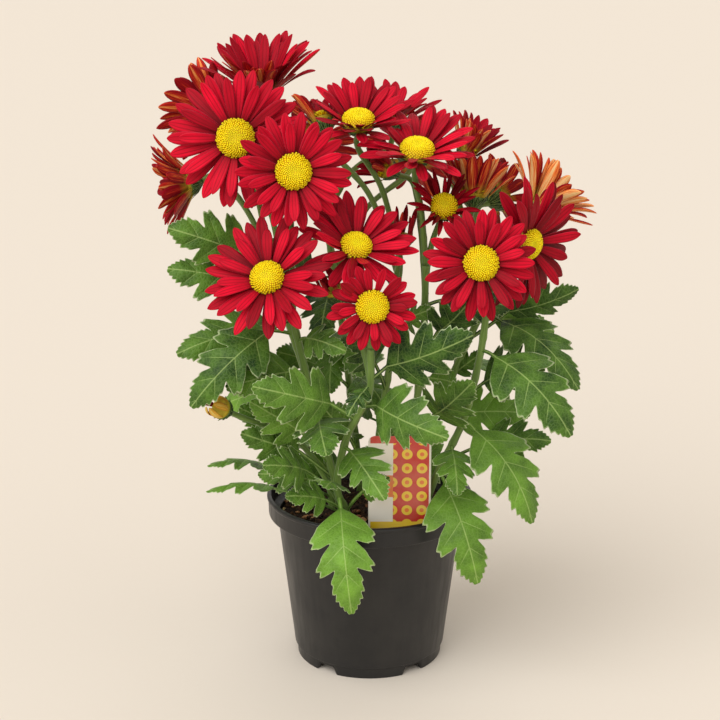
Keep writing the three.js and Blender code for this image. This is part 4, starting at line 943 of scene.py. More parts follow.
def add_leaf(shell, leaf, finish, thickness, wave, tone, seed):
    """A leaf, petiole and blade in one. Rows start on the midrib and slant forward, more so
    towards the tip, and reach as far as the outline list says, so lobes and cuts point forward.
    Points crowd towards the margin by a sine. Side veins are pressed in as bell curves, the blade
    between them domes up as a cosine, the margin waves as a sine, and the midrib stands out
    behind."""
    draw = np.random.default_rng(seed)
    edge = LEAF_EDGE.copy()
    edge[1:-1, 1] *= 1 + draw.uniform(-0.02, 0.02, len(edge) - 2)
    steps = np.linspace(0, 1, LEAF_ROWS)[:-1]
    line = smooth_path(np.column_stack([edge, np.zeros(len(edge))]), steps)
    place, reach = line[:, 0], np.maximum(line[:, 1], 0.012)
    across, face = both_faces(LEAF_COLUMNS)
    across = np.sin(across * np.pi / 2)
    slant = np.radians(24 + 30 * place)[:, None]
    half = reach[:, None] * (1 + 0.08 * draw.uniform(-1, 1) * np.sign(across))
    share = place[:, None] + half * np.abs(across) * np.sin(slant)
    out = half * across * np.cos(slant)
    length = leaf["length"]
    points = leaf_point(leaf, share, out)
    vein = (place - FIRST_VEIN) / VEIN_STEP
    vein = np.abs(vein - np.round(vein))[:, None] * VEIN_STEP * length
    far = np.abs(across) * reach[:, None] / 0.4
    press = VEIN_PRESS * np.exp(-(vein / 1.3) ** 2) * np.exp(-((far - 0.3) / 0.5) ** 2)
    puff = -BLADE_PUFF * np.sin(np.clip(far, 0, 1) * np.pi) * np.cos(
        2 * np.pi * (place[:, None] - FIRST_VEIN) / VEIN_STEP)
    ripple = wave * np.clip(far, 0, 1) ** 2 * np.sin(
        place[:, None] * 17 + 6.28 * draw.uniform(0, 1) + 1.9 * np.sign(across))
    sink = MIDRIB_SINK * np.exp(-(out * length / 1.4) ** 2)
    skin = thickness / 2 * np.sqrt(1 - 0.9 * across ** 2)
    rib = MIDRIB_STAND * (1 - place[:, None]) * np.exp(-(out * length / 1.1) ** 2)
    rise = ripple + np.where(face > 0, 1, 0.8) * (puff * 0.5 - press - sink * 0.6)
    rise = rise + np.where(face > 0, skin, np.where(face < 0, -skin - rib, 0))
    blade = points + leaf["normal"] * rise[..., None]
    foot = np.linspace(0, 0.96, 7)[:, None, None]
    stalk = leaf["start"] + (leaf["base"] - leaf["start"]) * foot
    stalk = stalk + leaf["normal"] * (1.2 * np.sin(foot * np.pi))
    girth = PETIOLE_HALF_WIDTH * (1.25 - 0.25 * foot[..., 0])
    depth = np.where(face > 0, 0.35, 0.95) * face * np.sqrt(1 - 0.9 * across ** 2) * girth
    petiole = stalk + leaf["side"] * (across * girth)[..., None] + leaf["normal"] * depth[..., None]
    rings = np.concatenate([petiole, blade])[None]
    uv = np.stack(np.broadcast_arrays(place[:, None], (across[None] + 1) / 2), axis=-1)
    uv = np.concatenate([np.broadcast_to((0.0, 0.5), petiole.shape[:2] + (2,)), uv])[None]
    tip = leaf_point(leaf, np.array(1.0), np.array(0.0))
    measure = np.concatenate([np.broadcast_to(across * 1.1, petiole.shape[:2]), out * length])[None]
    shell.add(rings, leaf["start"], tip, finish, uv, tone=np.array([tone]), reach=measure,
              reverse=(1 - face) / 2 + np.zeros((1, rings.shape[1], 1)))


def rounded(profile, radius):
    """A profile with each inner corner replaced by five points of a parabola that leaves and
    meets its two sides at the given distance, or half a side where that is shorter."""
    profile = np.asarray(profile, float)
    before, corner, after = profile[:-2], profile[1:-1], profile[2:]
    back, on = before - corner, after - corner
    far_back, far_on = (np.linalg.norm(side, axis=1, keepdims=True) for side in (back, on))
    start = corner + back / far_back * np.minimum(radius, far_back * 0.48)
    end = corner + on / far_on * np.minimum(radius, far_on * 0.48)
    t = np.linspace(0, 1, 5)[None, :, None]
    arc = start[:, None] * (1 - t) ** 2 + corner[:, None] * 2 * t * (1 - t) + end[:, None] * t ** 2
    return np.vstack([profile[:1], arc.reshape(-1, 2), profile[-1:]])


def bumps(x, y, z, sizes, seed):
    """Smooth noise between about -1 and 1: for each size, eight cosine waves of about that
    wavelength in seeded directions, multiplied in pairs and added."""
    draw = np.random.default_rng(seed)
    total = np.zeros(np.broadcast(x, y, z).shape)
    for size in sizes:
        heading = unit(draw.normal(size=(8, 3)))
        phase = draw.uniform(0, 2 * np.pi, 8)
        waves = [np.cos((x * h[0] + y * h[1] + z * h[2]) * 2 * np.pi / size + p)
                 for h, p in zip(heading, phase)]
        total = total + sum(a * b for a, b in zip(waves[::2], waves[1::2])) * size / sizes[0]
    return total / 2


def lumps(centre, size, turn, seed, around=6, levels=3):
    """Small closed lumps: rings of a ball, stretched by each lump's three half sizes, dented by
    seeded noise and turned to its own heading and tilt."""
    draw = np.random.default_rng(seed)
    count = len(centre)
    rise = np.linspace(-1, 1, levels + 2)[1:-1] * np.pi / 2
    spin = once_round(around)
    ball = np.stack([np.cos(rise)[:, None] * np.cos(spin), np.cos(rise)[:, None] * np.sin(spin),
                     np.sin(rise)[:, None] + 0 * spin], axis=-1)[None]
    ball = ball * draw.uniform(0.78, 1.18, (count, levels, around, 1)) * size[:, None, None]
    poles = np.stack([-size * (0, 0, 1), size * (0, 0, 1)], axis=1)
    cos, sin = np.cos(turn), np.sin(turn)
    flat = np.zeros_like(cos[:, 0])
    yaw = np.stack([np.stack([cos[:, 0], -sin[:, 0], flat], -1),
                    np.stack([sin[:, 0], cos[:, 0], flat], -1),
                    np.stack([flat, flat, flat + 1], -1)], axis=1)
    tilt = np.stack([np.stack([cos[:, 1], flat, sin[:, 1]], -1),
                     np.stack([flat, flat + 1, flat], -1),
                     np.stack([-sin[:, 1], flat, cos[:, 1]], -1)], axis=1)
    place = yaw @ tilt
    ball = np.einsum("nij,nlaj->nlai", place, ball) + centre[:, None, None]
    poles = np.einsum("nij,nkj->nki", place, poles) + centre[:, None]
    return ball, poles[:, 0], poles[:, 1]


def add(tree, kind, inputs=None, ramp=None, **settings):
    """Adds a shader node: sets its properties, its colour ramp and its sockets, and links to it
    what is given as a socket."""
    node = tree.nodes.new("ShaderNode" + kind)
    for key, value in settings.items():
        setattr(node, key, value)
    if ramp:
        while len(node.color_ramp.elements) < len(ramp):
            node.color_ramp.elements.new(0.5)
        for element, (place, colour) in zip(node.color_ramp.elements, ramp):
            element.position = place
            element.color = (*np.broadcast_to(colour, 3), 1)
    for key, value in (inputs or {}).items():
        if isinstance(value, bpy.types.NodeSocket):
            tree.links.new(value, node.inputs[key])
        else:
            node.inputs[key].default_value = value
    return node


def finish(values):
    """Makes a finish of a function that fills a node tree and gives back what feeds the shader.
    The material has the function's name, starts with these values on its shader, and is made the
    first time it is asked for."""
    def wrap(fill):
        def made():
            if fill.__name__ not in bpy.data.materials:
                material = bpy.data.materials.new(fill.__name__)
                material.use_nodes = True
                shader = material.node_tree.nodes["Principled BSDF"]
                for key, value in values.items():
                    shader.inputs[key].default_value = value
                feeds = fill(material.node_tree, bpy.context.scene.chrysanthemum)
                for key, socket in feeds.items():
                    material.node_tree.links.new(socket, shader.inputs[key])
            return bpy.data.materials[fill.__name__]
        return made
    return wrap


def solid_colour(value):
    """A colour property or a hex value as the four numbers that a colour socket takes."""
    return (*(srgb(value) if isinstance(value, str) else value), 1)


# Ray petal of a garden chrysanthemum: velvety cells over pigment. Matt and saturated on its face,
# with painted shade in the grooves and at the root, and a painted pale sheen at the rim; the
# reverse is cream and orange with red streaks.
@finish({"Roughness": 0.55, "Specular IOR Level": 0.12, "Sheen Weight": 0.03,
         "Sheen Roughness": 0.35, "Sheen Tint": (1.0, 0.2, 0.3, 1)})
def velvety_ray_petal(tree, look):
    growth = add(tree, "UVMap", uv_map="growth").outputs["UV"]
    axes = add(tree, "SeparateXYZ", {"Vector": growth}).outputs
    tone, ripe, cream, reverse = (add(tree, "Attribute", attribute_name=name).outputs["Fac"]
                                  for name in ("tone", "ripe", "cream", "reverse"))
    # Streaks about 0.5 mm wide that run the petal's length
    stretched = add(tree, "VectorMath", {0: growth, 1: (1.8, 15, 0)}, operation="MULTIPLY")
    streak = add(tree, "TexNoise", {"Vector": stretched.outputs[0], "W": tone, "Scale": 1.0,
                                    "Detail": 3.0, "Roughness": 0.6},
                 noise_dimensions="4D").outputs["Fac"]
    centred = add(tree, "Math", {0: axes["Y"], 1: 2.0, 2: -1.0}, operation="MULTIPLY_ADD")
    aside = add(tree, "Math", {0: centred.outputs[0]}, operation="ABSOLUTE").outputs[0]
    groove = add(tree, "ValToRGB", {"Fac": aside}, ramp=[
        (0.0, 0.28), (0.16, 0.06), (0.33, 0.9), (0.46, 0.08), (0.86, 0.12),
        (1.0, 0.0)]).outputs[0]
    # How bright the red is: by bloom, by petal and by streak; painted shade darkens it towards the
    # root and a little towards the tip
    glow = 0.13
    for cause, gain in ((ripe, 0.3), (tone, 0.3), (streak, 0.7)):
        glow = add(tree, "Math", {0: cause, 1: gain, 2: glow},
                   operation="MULTIPLY_ADD").outputs[0]
    shade = add(tree, "ValToRGB", {"Fac": axes["X"]}, ramp=[
        (0.0, 0.05), (0.22, 0.62), (0.6, 1.0), (1.0, 0.85)]).outputs[0]
    glow = add(tree, "Math", {0: glow, 1: shade}, operation="MULTIPLY",
               use_clamp=True).outputs[0]
    # Painted shade: the two grooves, and a little of the middle and the edges, are drawn in the
    # dark red
    depth = add(tree, "Math", {0: groove, 1: 0.68}, operation="MULTIPLY").outputs[0]
    # Painted sheen: a pale pink band along each edge of the face
    rim = add(tree, "MapRange", {"Value": aside, "From Min": 0.88, "From Max": 1.0,
                                 "To Max": 0.3}).outputs[0]
    face = solid_colour(look.petal_shade)
    for amount, colour in ((glow, look.petal_face), (depth, look.petal_shade), (rim, "#e8697c")):
        face = add(tree, "Mix", {"Factor": amount, "A": face, "B": solid_colour(colour)},
                   data_type="RGBA").outputs["Result"]
    # The reverse: streaks and distance from the middle decide between cream, orange and red
    red = -0.08
    for cause, gain in ((streak, 1.9), (aside, 0.45), (cream, -0.95), (tone, -0.3)):
        red = add(tree, "Math", {0: cause, 1: gain, 2: red}, operation="MULTIPLY_ADD").outputs[0]
    back = add(tree, "ValToRGB", {"Fac": red}, ramp=[
        (0.15, look.petal_reverse), (0.38, srgb("#f08a3c")), (0.62, srgb("#c92a20")),
        (0.92, srgb("#8c0a18"))]).outputs[0]
    # Youngest buds are green all over, and every reverse is greenish at its root
    young = add(tree, "MapRange", {"Value": ripe, "From Min": -0.85,
                                   "From Max": -1.0}).outputs[0]
    root = add(tree, "MapRange", {"Value": axes["X"], "From Min": 0.3, "From Max": 0.0,
                                  "To Max": 0.75}).outputs[0]
    green = add(tree, "Math", {0: young, 1: root}, operation="MAXIMUM").outputs[0]
    back = add(tree, "Mix", {"Factor": green, "A": back, "B": solid_colour("#c6ba34")},
               data_type="RGBA").outputs["Result"]
    behind = add(tree, "Math", {0: reverse, 1: 0.5}, operation="GREATER_THAN").outputs[0]
    colour = add(tree, "Mix", {"Factor": behind, "A": face, "B": back}, data_type="RGBA")
    bump = add(tree, "Bump", {"Height": streak, "Strength": 0.5, "Distance": 0.0003})
    return {"Base Color": colour.outputs["Result"], "Normal": bump.outputs["Normal"]}


# Disc floret: waxy tubes packed together. Bright at the mouths, and a deeper gold lower down
# between them that is painted shade.
@finish({"Roughness": 0.55, "Specular IOR Level": 0.35, "Subsurface Weight": 0.35,
         "Subsurface Radius": (1.0, 0.9, 0.2), "Subsurface Scale": 0.002})
def waxy_disc_floret(tree, look):
    tone, place, crown = (add(tree, "Attribute", attribute_name=name).outputs["Fac"]
                          for name in ("tone", "open", "crown"))
    mouth = add(tree, "ValToRGB", {"Fac": place}, ramp=[
        (0.0, srgb("#f0e410")), (0.28, srgb("#faec0a")), (0.6, look.floret),
        (1.0, srgb("#ffdc04"))]).outputs[0]
    # Painted shade: each floret's lower part, down between its neighbours, and the cushion under
    # them go to a deeper gold
    down = add(tree, "MapRange", {"Value": crown, "From Min": 0.75, "From Max": 0.1}).outputs[0]
    colour = add(tree, "Mix", {"Factor": down, "A": mouth, "B": solid_colour("#efc404")},
                 data_type="RGBA").outputs["Result"]
    gain = add(tree, "Math", {0: tone, 1: 0.05, 2: 1.0}, operation="MULTIPLY_ADD").outputs[0]
    colour = add(tree, "Mix", {"Factor": 1.0, "A": colour, "B": gain}, data_type="RGBA",
                 blend_type="MULTIPLY")
    return {"Base Color": colour.outputs["Result"]}


# Leaf: downy, matt blade. Pale veins, a paler hairy margin drawn paler still as painted light,
# mottled green; grey-green behind.
@finish({"Roughness": 0.48, "Specular IOR Level": 0.22, "Sheen Weight": 0.04,
         "Sheen Roughness": 0.5, "Sheen Tint": (0.9, 1.0, 0.8, 1)})
def downy_lobed_leaf(tree, look):
    growth = add(tree, "UVMap", uv_map="growth").outputs["UV"]
    axes = add(tree, "SeparateXYZ", {"Vector": growth}).outputs
    tone, reach, reverse = (add(tree, "Attribute", attribute_name=name).outputs["Fac"]
                            for name in ("tone", "reach", "reverse"))
    place = add(tree, "TexCoord").outputs["Object"]
    # A side vein runs from the midrib to the middle of each lobe, and thins towards its tip
    turn = add(tree, "Math", {0: axes["X"], 1: 1 / VEIN_STEP, 2: 0.5 - FIRST_VEIN / VEIN_STEP},
               operation="MULTIPLY_ADD").outputs[0]
    turn = add(tree, "Math", {0: turn}, operation="FRACT").outputs[0]
    turn = add(tree, "Math", {0: turn, 1: 0.5}, operation="SUBTRACT").outputs[0]
    turn = add(tree, "Math", {0: turn}, operation="ABSOLUTE").outputs[0]
    centred = add(tree, "Math", {0: axes["Y"], 1: 2.0, 2: -1.0}, operation="MULTIPLY_ADD")
    aside = add(tree, "Math", {0: centred.outputs[0]}, operation="ABSOLUTE").outputs[0]
    width = add(tree, "MapRange", {"Value": aside, "From Min": 0.0, "From Max": 0.85,
                                   "To Min": 0.035, "To Max": 0.01}).outputs[0]
    vein = add(tree, "Math", {0: turn, 1: width}, operation="DIVIDE").outputs[0]
    vein = add(tree, "MapRange", {"Value": vein, "From Min": 1.0, "From Max": 0.3}).outputs[0]
    inside = add(tree, "MapRange", {"Value": aside, "From Min": 0.9, "From Max": 0.6,
                                    "To Max": 0.8}).outputs[0]
    vein = add(tree, "Math", {0: vein, 1: inside}, operation="MULTIPLY").outputs[0]
    midrib = add(tree, "Math", {0: reach}, operation="ABSOLUTE").outputs[0]
    midrib = add(tree, "MapRange", {"Value": midrib, "From Min": 0.55,
                                    "From Max": 0.2}).outputs[0]
    vein = add(tree, "Math", {0: vein, 1: midrib}, operation="MAXIMUM").outputs[0]
    paler = add(tree, "Math", {0: vein, 1: 0.42}, operation="MULTIPLY").outputs[0]
    # A net of small veins, cells about 2 mm across
    net = add(tree, "TexVoronoi", {"Vector": place, "Scale": 480.0},
              feature="DISTANCE_TO_EDGE").outputs["Distance"]
    netted = add(tree, "MapRange", {"Value": net, "From Min": 0.12, "From Max": 0.0,
                                    "To Max": 0.12}).outputs[0]
    # Blotches about 10 mm across between dark and light green
    mottle = add(tree, "TexNoise", {"Vector": place, "Scale": 95.0,
                                    "Detail": 3.0}).outputs["Fac"]
    light = add(tree, "Math", {0: tone, 1: 0.5, 2: -0.06}, operation="MULTIPLY_ADD").outputs[0]
    light = add(tree, "Math", {0: mottle, 1: 0.75, 2: light}, operation="MULTIPLY_ADD",
                use_clamp=True).outputs[0]
    # The margin: a pale hairy edge, drawn paler still as painted light against the dark shading of
    # the edge
    rim = add(tree, "MapRange", {"Value": aside, "From Min": 0.93, "From Max": 1.0,
                                 "To Max": 0.8}).outputs[0]
    behind = add(tree, "Math", {0: reverse, 1: 0.55}, operation="GREATER_THAN").outputs[0]
    behind = add(tree, "Math", {0: behind, 1: 0.6}, operation="MULTIPLY").outputs[0]
    blade = solid_colour(look.leaf_shade)
    for amount, colour in ((light, look.leaf_light), (netted, "#9dbb6a"), (paler, "#b4cb7c"),
                           (rim, "#d2dfae"), (behind, "#7b9a58")):
        blade = add(tree, "Mix", {"Factor": amount, "A": blade, "B": solid_colour(colour)},
                    data_type="RGBA").outputs["Result"]
    height = add(tree, "Math", {0: net, 1: 1.5, 2: mottle}, operation="MULTIPLY_ADD").outputs[0]
    bump = add(tree, "Bump", {"Height": height, "Strength": 0.6, "Distance": 0.0006})
    return {"Base Color": blade, "Normal": bump.outputs["Normal"]}


# Stem: green, juicy rind with fine ribs and down. Slightly glossy, paler streaks along it.
@finish({"Roughness": 0.46, "Specular IOR Level": 0.4, "Sheen Weight": 0.15,
         "Sheen Roughness": 0.5})
def ribbed_green_stem(tree, look):
    growth = add(tree, "UVMap", uv_map="growth").outputs["UV"]
    along, tone = (add(tree, "Attribute", attribute_name=name).outputs["Fac"]
                   for name in ("along", "tone"))
    # Streaks a fourteenth of the way round and 25 mm long
    stretched = add(tree, "VectorMath", {0: growth, 1: (4, 14, 0)}, operation="MULTIPLY")
    streak = add(tree, "TexNoise", {"Vector": stretched.outputs[0], "W": tone, "Scale": 1.0,
                                    "Detail": 3.0}, noise_dimensions="4D").outputs["Fac"]
    light = add(tree, "Math", {0: streak, 1: 1.3, 2: -0.2}, operation="MULTIPLY_ADD").outputs[0]
    light = add(tree, "Math", {0: along, 1: 0.25, 2: light}, operation="MULTIPLY_ADD",
                use_clamp=True).outputs[0]
    colour = add(tree, "Mix", {"Factor": light, "A": solid_colour("#3c5a1c"),
                               "B": solid_colour(look.stem)}, data_type="RGBA")
    bump = add(tree, "Bump", {"Height": streak, "Strength": 0.5, "Distance": 0.0004})
    return {"Base Color": colour.outputs["Result"], "Normal": bump.outputs["Normal"]}


# Nursery pot: thin black polypropylene, injection moulded with a fine satin grain. Soft, broad
# highlights, a little dusty, faint scuffs.
@finish({"Roughness": 0.42, "Specular IOR Level": 0.5, "IOR": 1.49})
def moulded_polypropylene(tree, look):
    place = add(tree, "TexCoord").outputs["Object"]
    # Moulding grain 0.4 mm, drawn at 0.8 mm so that it shows
    grain = add(tree, "TexNoise", {"Vector": place, "Scale": 1250.0,
                                   "Detail": 2.0}).outputs["Fac"]
    # Dust in patches of about 36 mm
    dust = add(tree, "TexNoise", {"Vector": place, "Scale": 28.0, "Detail": 6.0,
                                  "Roughness": 0.65}).outputs["Fac"]
    film = add(tree, "MapRange", {"Value": dust, "From Min": 0.42, "From Max": 0.8,
                                  "To Max": 0.34}).outputs[0]
    colour = add(tree, "Mix", {"Factor": film, "A": solid_colour(look.pot),
                               "B": solid_colour("#3a3733")}, data_type="RGBA")
    # Scuffs about 4 mm wide that run up and down
    scuffed = add(tree, "Mapping", {"Vector": place, "Scale": (1, 1, 0.12)})
    scuff = add(tree, "TexNoise", {"Vector": scuffed.outputs[0], "Scale": 240.0,
                                   "Detail": 4.0}).outputs["Fac"]
    rough = add(tree, "MapRange", {"Value": scuff, "From Min": 0.3, "From Max": 0.75,
                                   "To Min": 0.34, "To Max": 0.52}).outputs[0]
    bump = add(tree, "Bump", {"Height": grain, "Strength": 0.35, "Distance": 0.0001})
    return {"Base Color": colour.outputs["Result"], "Roughness": rough,
            "Normal": bump.outputs["Normal"]}


# Potting mix: damp peat. Nearly black between the crumbs, brown and fibrous on them.
@finish({"Roughness": 0.92, "Specular IOR Level": 0.25})
def damp_peat(tree, look):
    place = add(tree, "TexCoord").outputs["Object"]
    tone = add(tree, "Attribute", attribute_name="tone").outputs["Fac"]
    # Crumbs about 3 mm across
    crumb = add(tree, "TexNoise", {"Vector": place, "Scale": 330.0, "Detail": 5.0,
                                   "Roughness": 0.7}).outputs["Fac"]
    light = add(tree, "Math", {0: tone, 1: 0.16, 2: crumb}, operation="MULTIPLY_ADD").outputs[0]
    colour = add(tree, "ValToRGB", {"Fac": light}, ramp=[
        (0.32, srgb("#150e0a")), (0.52, look.soil), (0.72, srgb("#6b4c33"))])
    bump = add(tree, "Bump", {"Height": crumb, "Strength": 0.9, "Distance": 0.0012})
    return {"Base Color": colour.outputs["Color"], "Normal": bump.outputs["Normal"]}


# Composted bark and wood chips: split fibres, tan to reddish brown, dry and matt.
@finish({"Roughness": 0.8, "Specular IOR Level": 0.3})
def composted_bark(tree, look):
    place = add(tree, "TexCoord").outputs["Object"]
    tone = add(tree, "Attribute", attribute_name="tone").outputs["Fac"]
    # Fibres about 0.7 mm wide, four times as long
    stretched = add(tree, "Mapping", {"Vector": place, "Scale": (1, 0.25, 1)})
    fibre = add(tree, "TexNoise", {"Vector": stretched.outputs[0], "Scale": 1400.0,
                                   "Detail": 3.0}).outputs["Fac"]
    light = add(tree, "Math", {0: tone, 1: 0.42, 2: fibre}, operation="MULTIPLY_ADD").outputs[0]
    colour = add(tree, "ValToRGB", {"Fac": light}, ramp=[
        (0.1, srgb("#4a2a1a")), (0.45, srgb("#8f5d3c")), (0.75, look.bark),
        (1.0, srgb("#dcc08f"))])
    bump = add(tree, "Bump", {"Height": fibre, "Strength": 0.8, "Distance": 0.0004})
    return {"Base Color": colour.outputs["Color"], "Normal": bump.outputs["Normal"]}


# Label: polystyrene card, screen printed and varnished. Flat colours, a crisp soft gloss.
@finish({"Roughness": 0.3, "Specular IOR Level": 0.5, "Coat Weight": 0.3, "Coat Roughness": 0.2})
def varnished_print_card(tree, look):
    place = add(tree, "TexCoord").outputs["Object"]
    card = add(tree, "Mapping", {
        "Vector": place, "Location": (-TAG_CENTRE[0] * MM, 0, -TAG_BOTTOM * MM)}).outputs[0]
    axes = add(tree, "SeparateXYZ", {"Vector": card})
    across, up = axes.outputs["X"], axes.outputs["Z"]
    white, red, orange, yellow = (
        solid_colour(code) for code in ("#f3ede0", "#cf2a1f", "#ee7a2c", "#f6cf2e"))
    # Right half: a red ground with a grid of round yellow dots; left half: white
    fold, pitch = -4 * MM, 9 * MM
    right = add(tree, "Math", {0: across, 1: fold}, operation="GREATER_THAN").outputs[0]
    colour = add(tree, "Mix", {"Factor": right, "A": white, "B": red},
                 data_type="RGBA").outputs["Result"]
    cell = add(tree, "VectorMath", {0: card, 1: (pitch, 1.0, pitch)}, operation="DIVIDE")
    cell = add(tree, "VectorMath", {0: cell.outputs[0]}, operation="FRACTION")
    for step, by in (("SUBTRACT", (0.5, 0.0, 0.5)), ("MULTIPLY", (1.0, 0.0, 1.0))):
        cell = add(tree, "VectorMath", {0: cell.outputs[0], 1: by}, operation=step)
    far = add(tree, "VectorMath", {0: cell.outputs[0]}, operation="LENGTH").outputs["Value"]
    for size, shade in ((0.36, yellow), (0.15, orange)):
        dot = add(tree, "Math", {0: far, 1: size}, operation="LESS_THAN").outputs[0]
        dot = add(tree, "Math", {0: dot, 1: right}, operation="MULTIPLY").outputs[0]
        colour = add(tree, "Mix", {"Factor": dot, "A": colour, "B": shade},
                     data_type="RGBA").outputs["Result"]
    # An orange band on the left, a yellow line along the foot and a red one near the top: from
    # and to so many millimetres up
    left = add(tree, "Math", {0: 1.0, 1: right}, operation="SUBTRACT").outputs[0]
    for low, high, side, shade in ((22, 36, left, orange), (0, 6, 1.0, yellow),
                                   (56.5, 61, 1.0, red)):
        over = add(tree, "Math", {0: up, 1: low * MM}, operation="GREATER_THAN").outputs[0]
        under = add(tree, "Math", {0: up, 1: high * MM}, operation="LESS_THAN").outputs[0]
        band = add(tree, "Math", {0: over, 1: under}, operation="MULTIPLY").outputs[0]
        band = add(tree, "Math", {0: band, 1: side}, operation="MULTIPLY").outputs[0]
        colour = add(tree, "Mix", {"Factor": band, "A": colour, "B": shade},
                     data_type="RGBA").outputs["Result"]
    # A white margin of 1.2 mm at the sides, as printed cards have, and a bare white stake
    wide = add(tree, "Math", {0: across}, operation="ABSOLUTE").outputs[0]
    margin = add(tree, "Math", {0: wide, 1: (TAG_WIDTH / 2 - 1.2) * MM},
                 operation="GREATER_THAN").outputs[0]
    bare = add(tree, "Math", {0: up, 1: 0.0}, operation="LESS_THAN").outputs[0]
    margin = add(tree, "Math", {0: margin, 1: bare}, operation="MAXIMUM").outputs[0]
    colour = add(tree, "Mix", {"Factor": margin, "A": colour, "B": white},
                 data_type="RGBA").outputs["Result"]
    # The print fades and gathers dust unevenly, in patches of about 8 mm
    worn = add(tree, "TexNoise", {"Vector": place, "Scale": 120.0, "Detail": 4.0}).outputs["Fac"]
    worn = add(tree, "MapRange", {"Value": worn, "From Min": 0.3, "From Max": 0.8,
                                  "To Max": 0.16}).outputs[0]
    colour = add(tree, "Mix", {"Factor": worn, "A": colour, "B": solid_colour("#e9d9c0")},
                 data_type="RGBA")
    return {"Base Color": colour.outputs["Result"]}


# Studio floor: heavy seamless paper. Matt, even, with a trace of fibre.
@finish({"Roughness": 0.9, "Specular IOR Level": 0.1})
def seamless_backdrop_paper(tree, look):
    place = add(tree, "TexCoord").outputs["Object"]
    # Fibres are drawn about 4 mm apart, coarse enough to show
    fibre = add(tree, "TexNoise", {"Vector": place, "Scale": 260.0,
                                   "Detail": 3.0}).outputs["Fac"]
    tint = add(tree, "MapRange", {"Value": fibre, "From Min": 0.3, "From Max": 0.7,
                                  "To Max": 0.12}).outputs[0]
    colour = add(tree, "Mix", {"Factor": tint, "A": solid_colour(look.floor),
                               "B": solid_colour("#d8ccbf")}, data_type="RGBA")
    return {"Base Color": colour.outputs["Result"]}


def length_property(name, description, default, least, most):
    """A length in metres that a user may change."""
    return FloatProperty(name=name, description=description, default=default, min=least,
                         max=most, unit="LENGTH", precision=5)


def colour_property(name, description, code):
    """A colour that a user may change, given as a hex value."""
    return FloatVectorProperty(name=name, description=description, subtype="COLOR", size=3,
                               min=0, max=1, default=srgb(code))


class ChrysanthemumSettings(bpy.types.PropertyGroup):
    """Sizes and colours of the looks."""

    petal_face: colour_property("Petal face", "Lit red of a petal's face", "#ee0430")
    # petal_shade: the dark end of the petals' own range of red, and the painted shade of their
    # roots and grooves
    petal_shade: colour_property("Petal shade", "Dark red of roots and grooves", "#5a0008")
    petal_reverse: colour_property("Petal reverse", "Cream of a petal's back", "#f3c789")
    floret: colour_property("Floret", "Yellow of the disc florets", "#ffe806")
    leaf_light: colour_property("Leaf, light", "Green of a leaf's lighter parts", "#86b83e")
    leaf_shade: colour_property("Leaf, dark", "Green of a leaf's darker parts", "#0e3002")
    stem: colour_property("Stem", "Light green of stems and stalks", "#84a24c")
    pot: colour_property("Pot", "Black of the nursery pot", "#121213")
    soil: colour_property("Soil", "Brown of the peat", "#33231a")
    bark: colour_property("Bark", "Tan of the bark chips", "#bd9060")
    floor: colour_property("Floor", "Cream of the studio floor", "#dbd2c6")
    petal_thickness: length_property("Petal thickness", "Thickness in the middle",
                                     0.0006, 0.0004, 0.001)
    leaf_thickness: length_property("Leaf thickness", "Thickness beside the midrib",
                                    0.0007, 0.0004, 0.001)
    leaf_wave: length_property("Leaf wave", "How far the margin waves up and down",
                               0.0011, 0, 0.0015)
    floret_width: length_property("Floret width", "Width of one disc floret",
                                  0.0011, 0.0009, 0.002)
    crumb: length_property("Crumb", "Height of the soil's crumbs",
                           0.0015, 0, 0.0018)


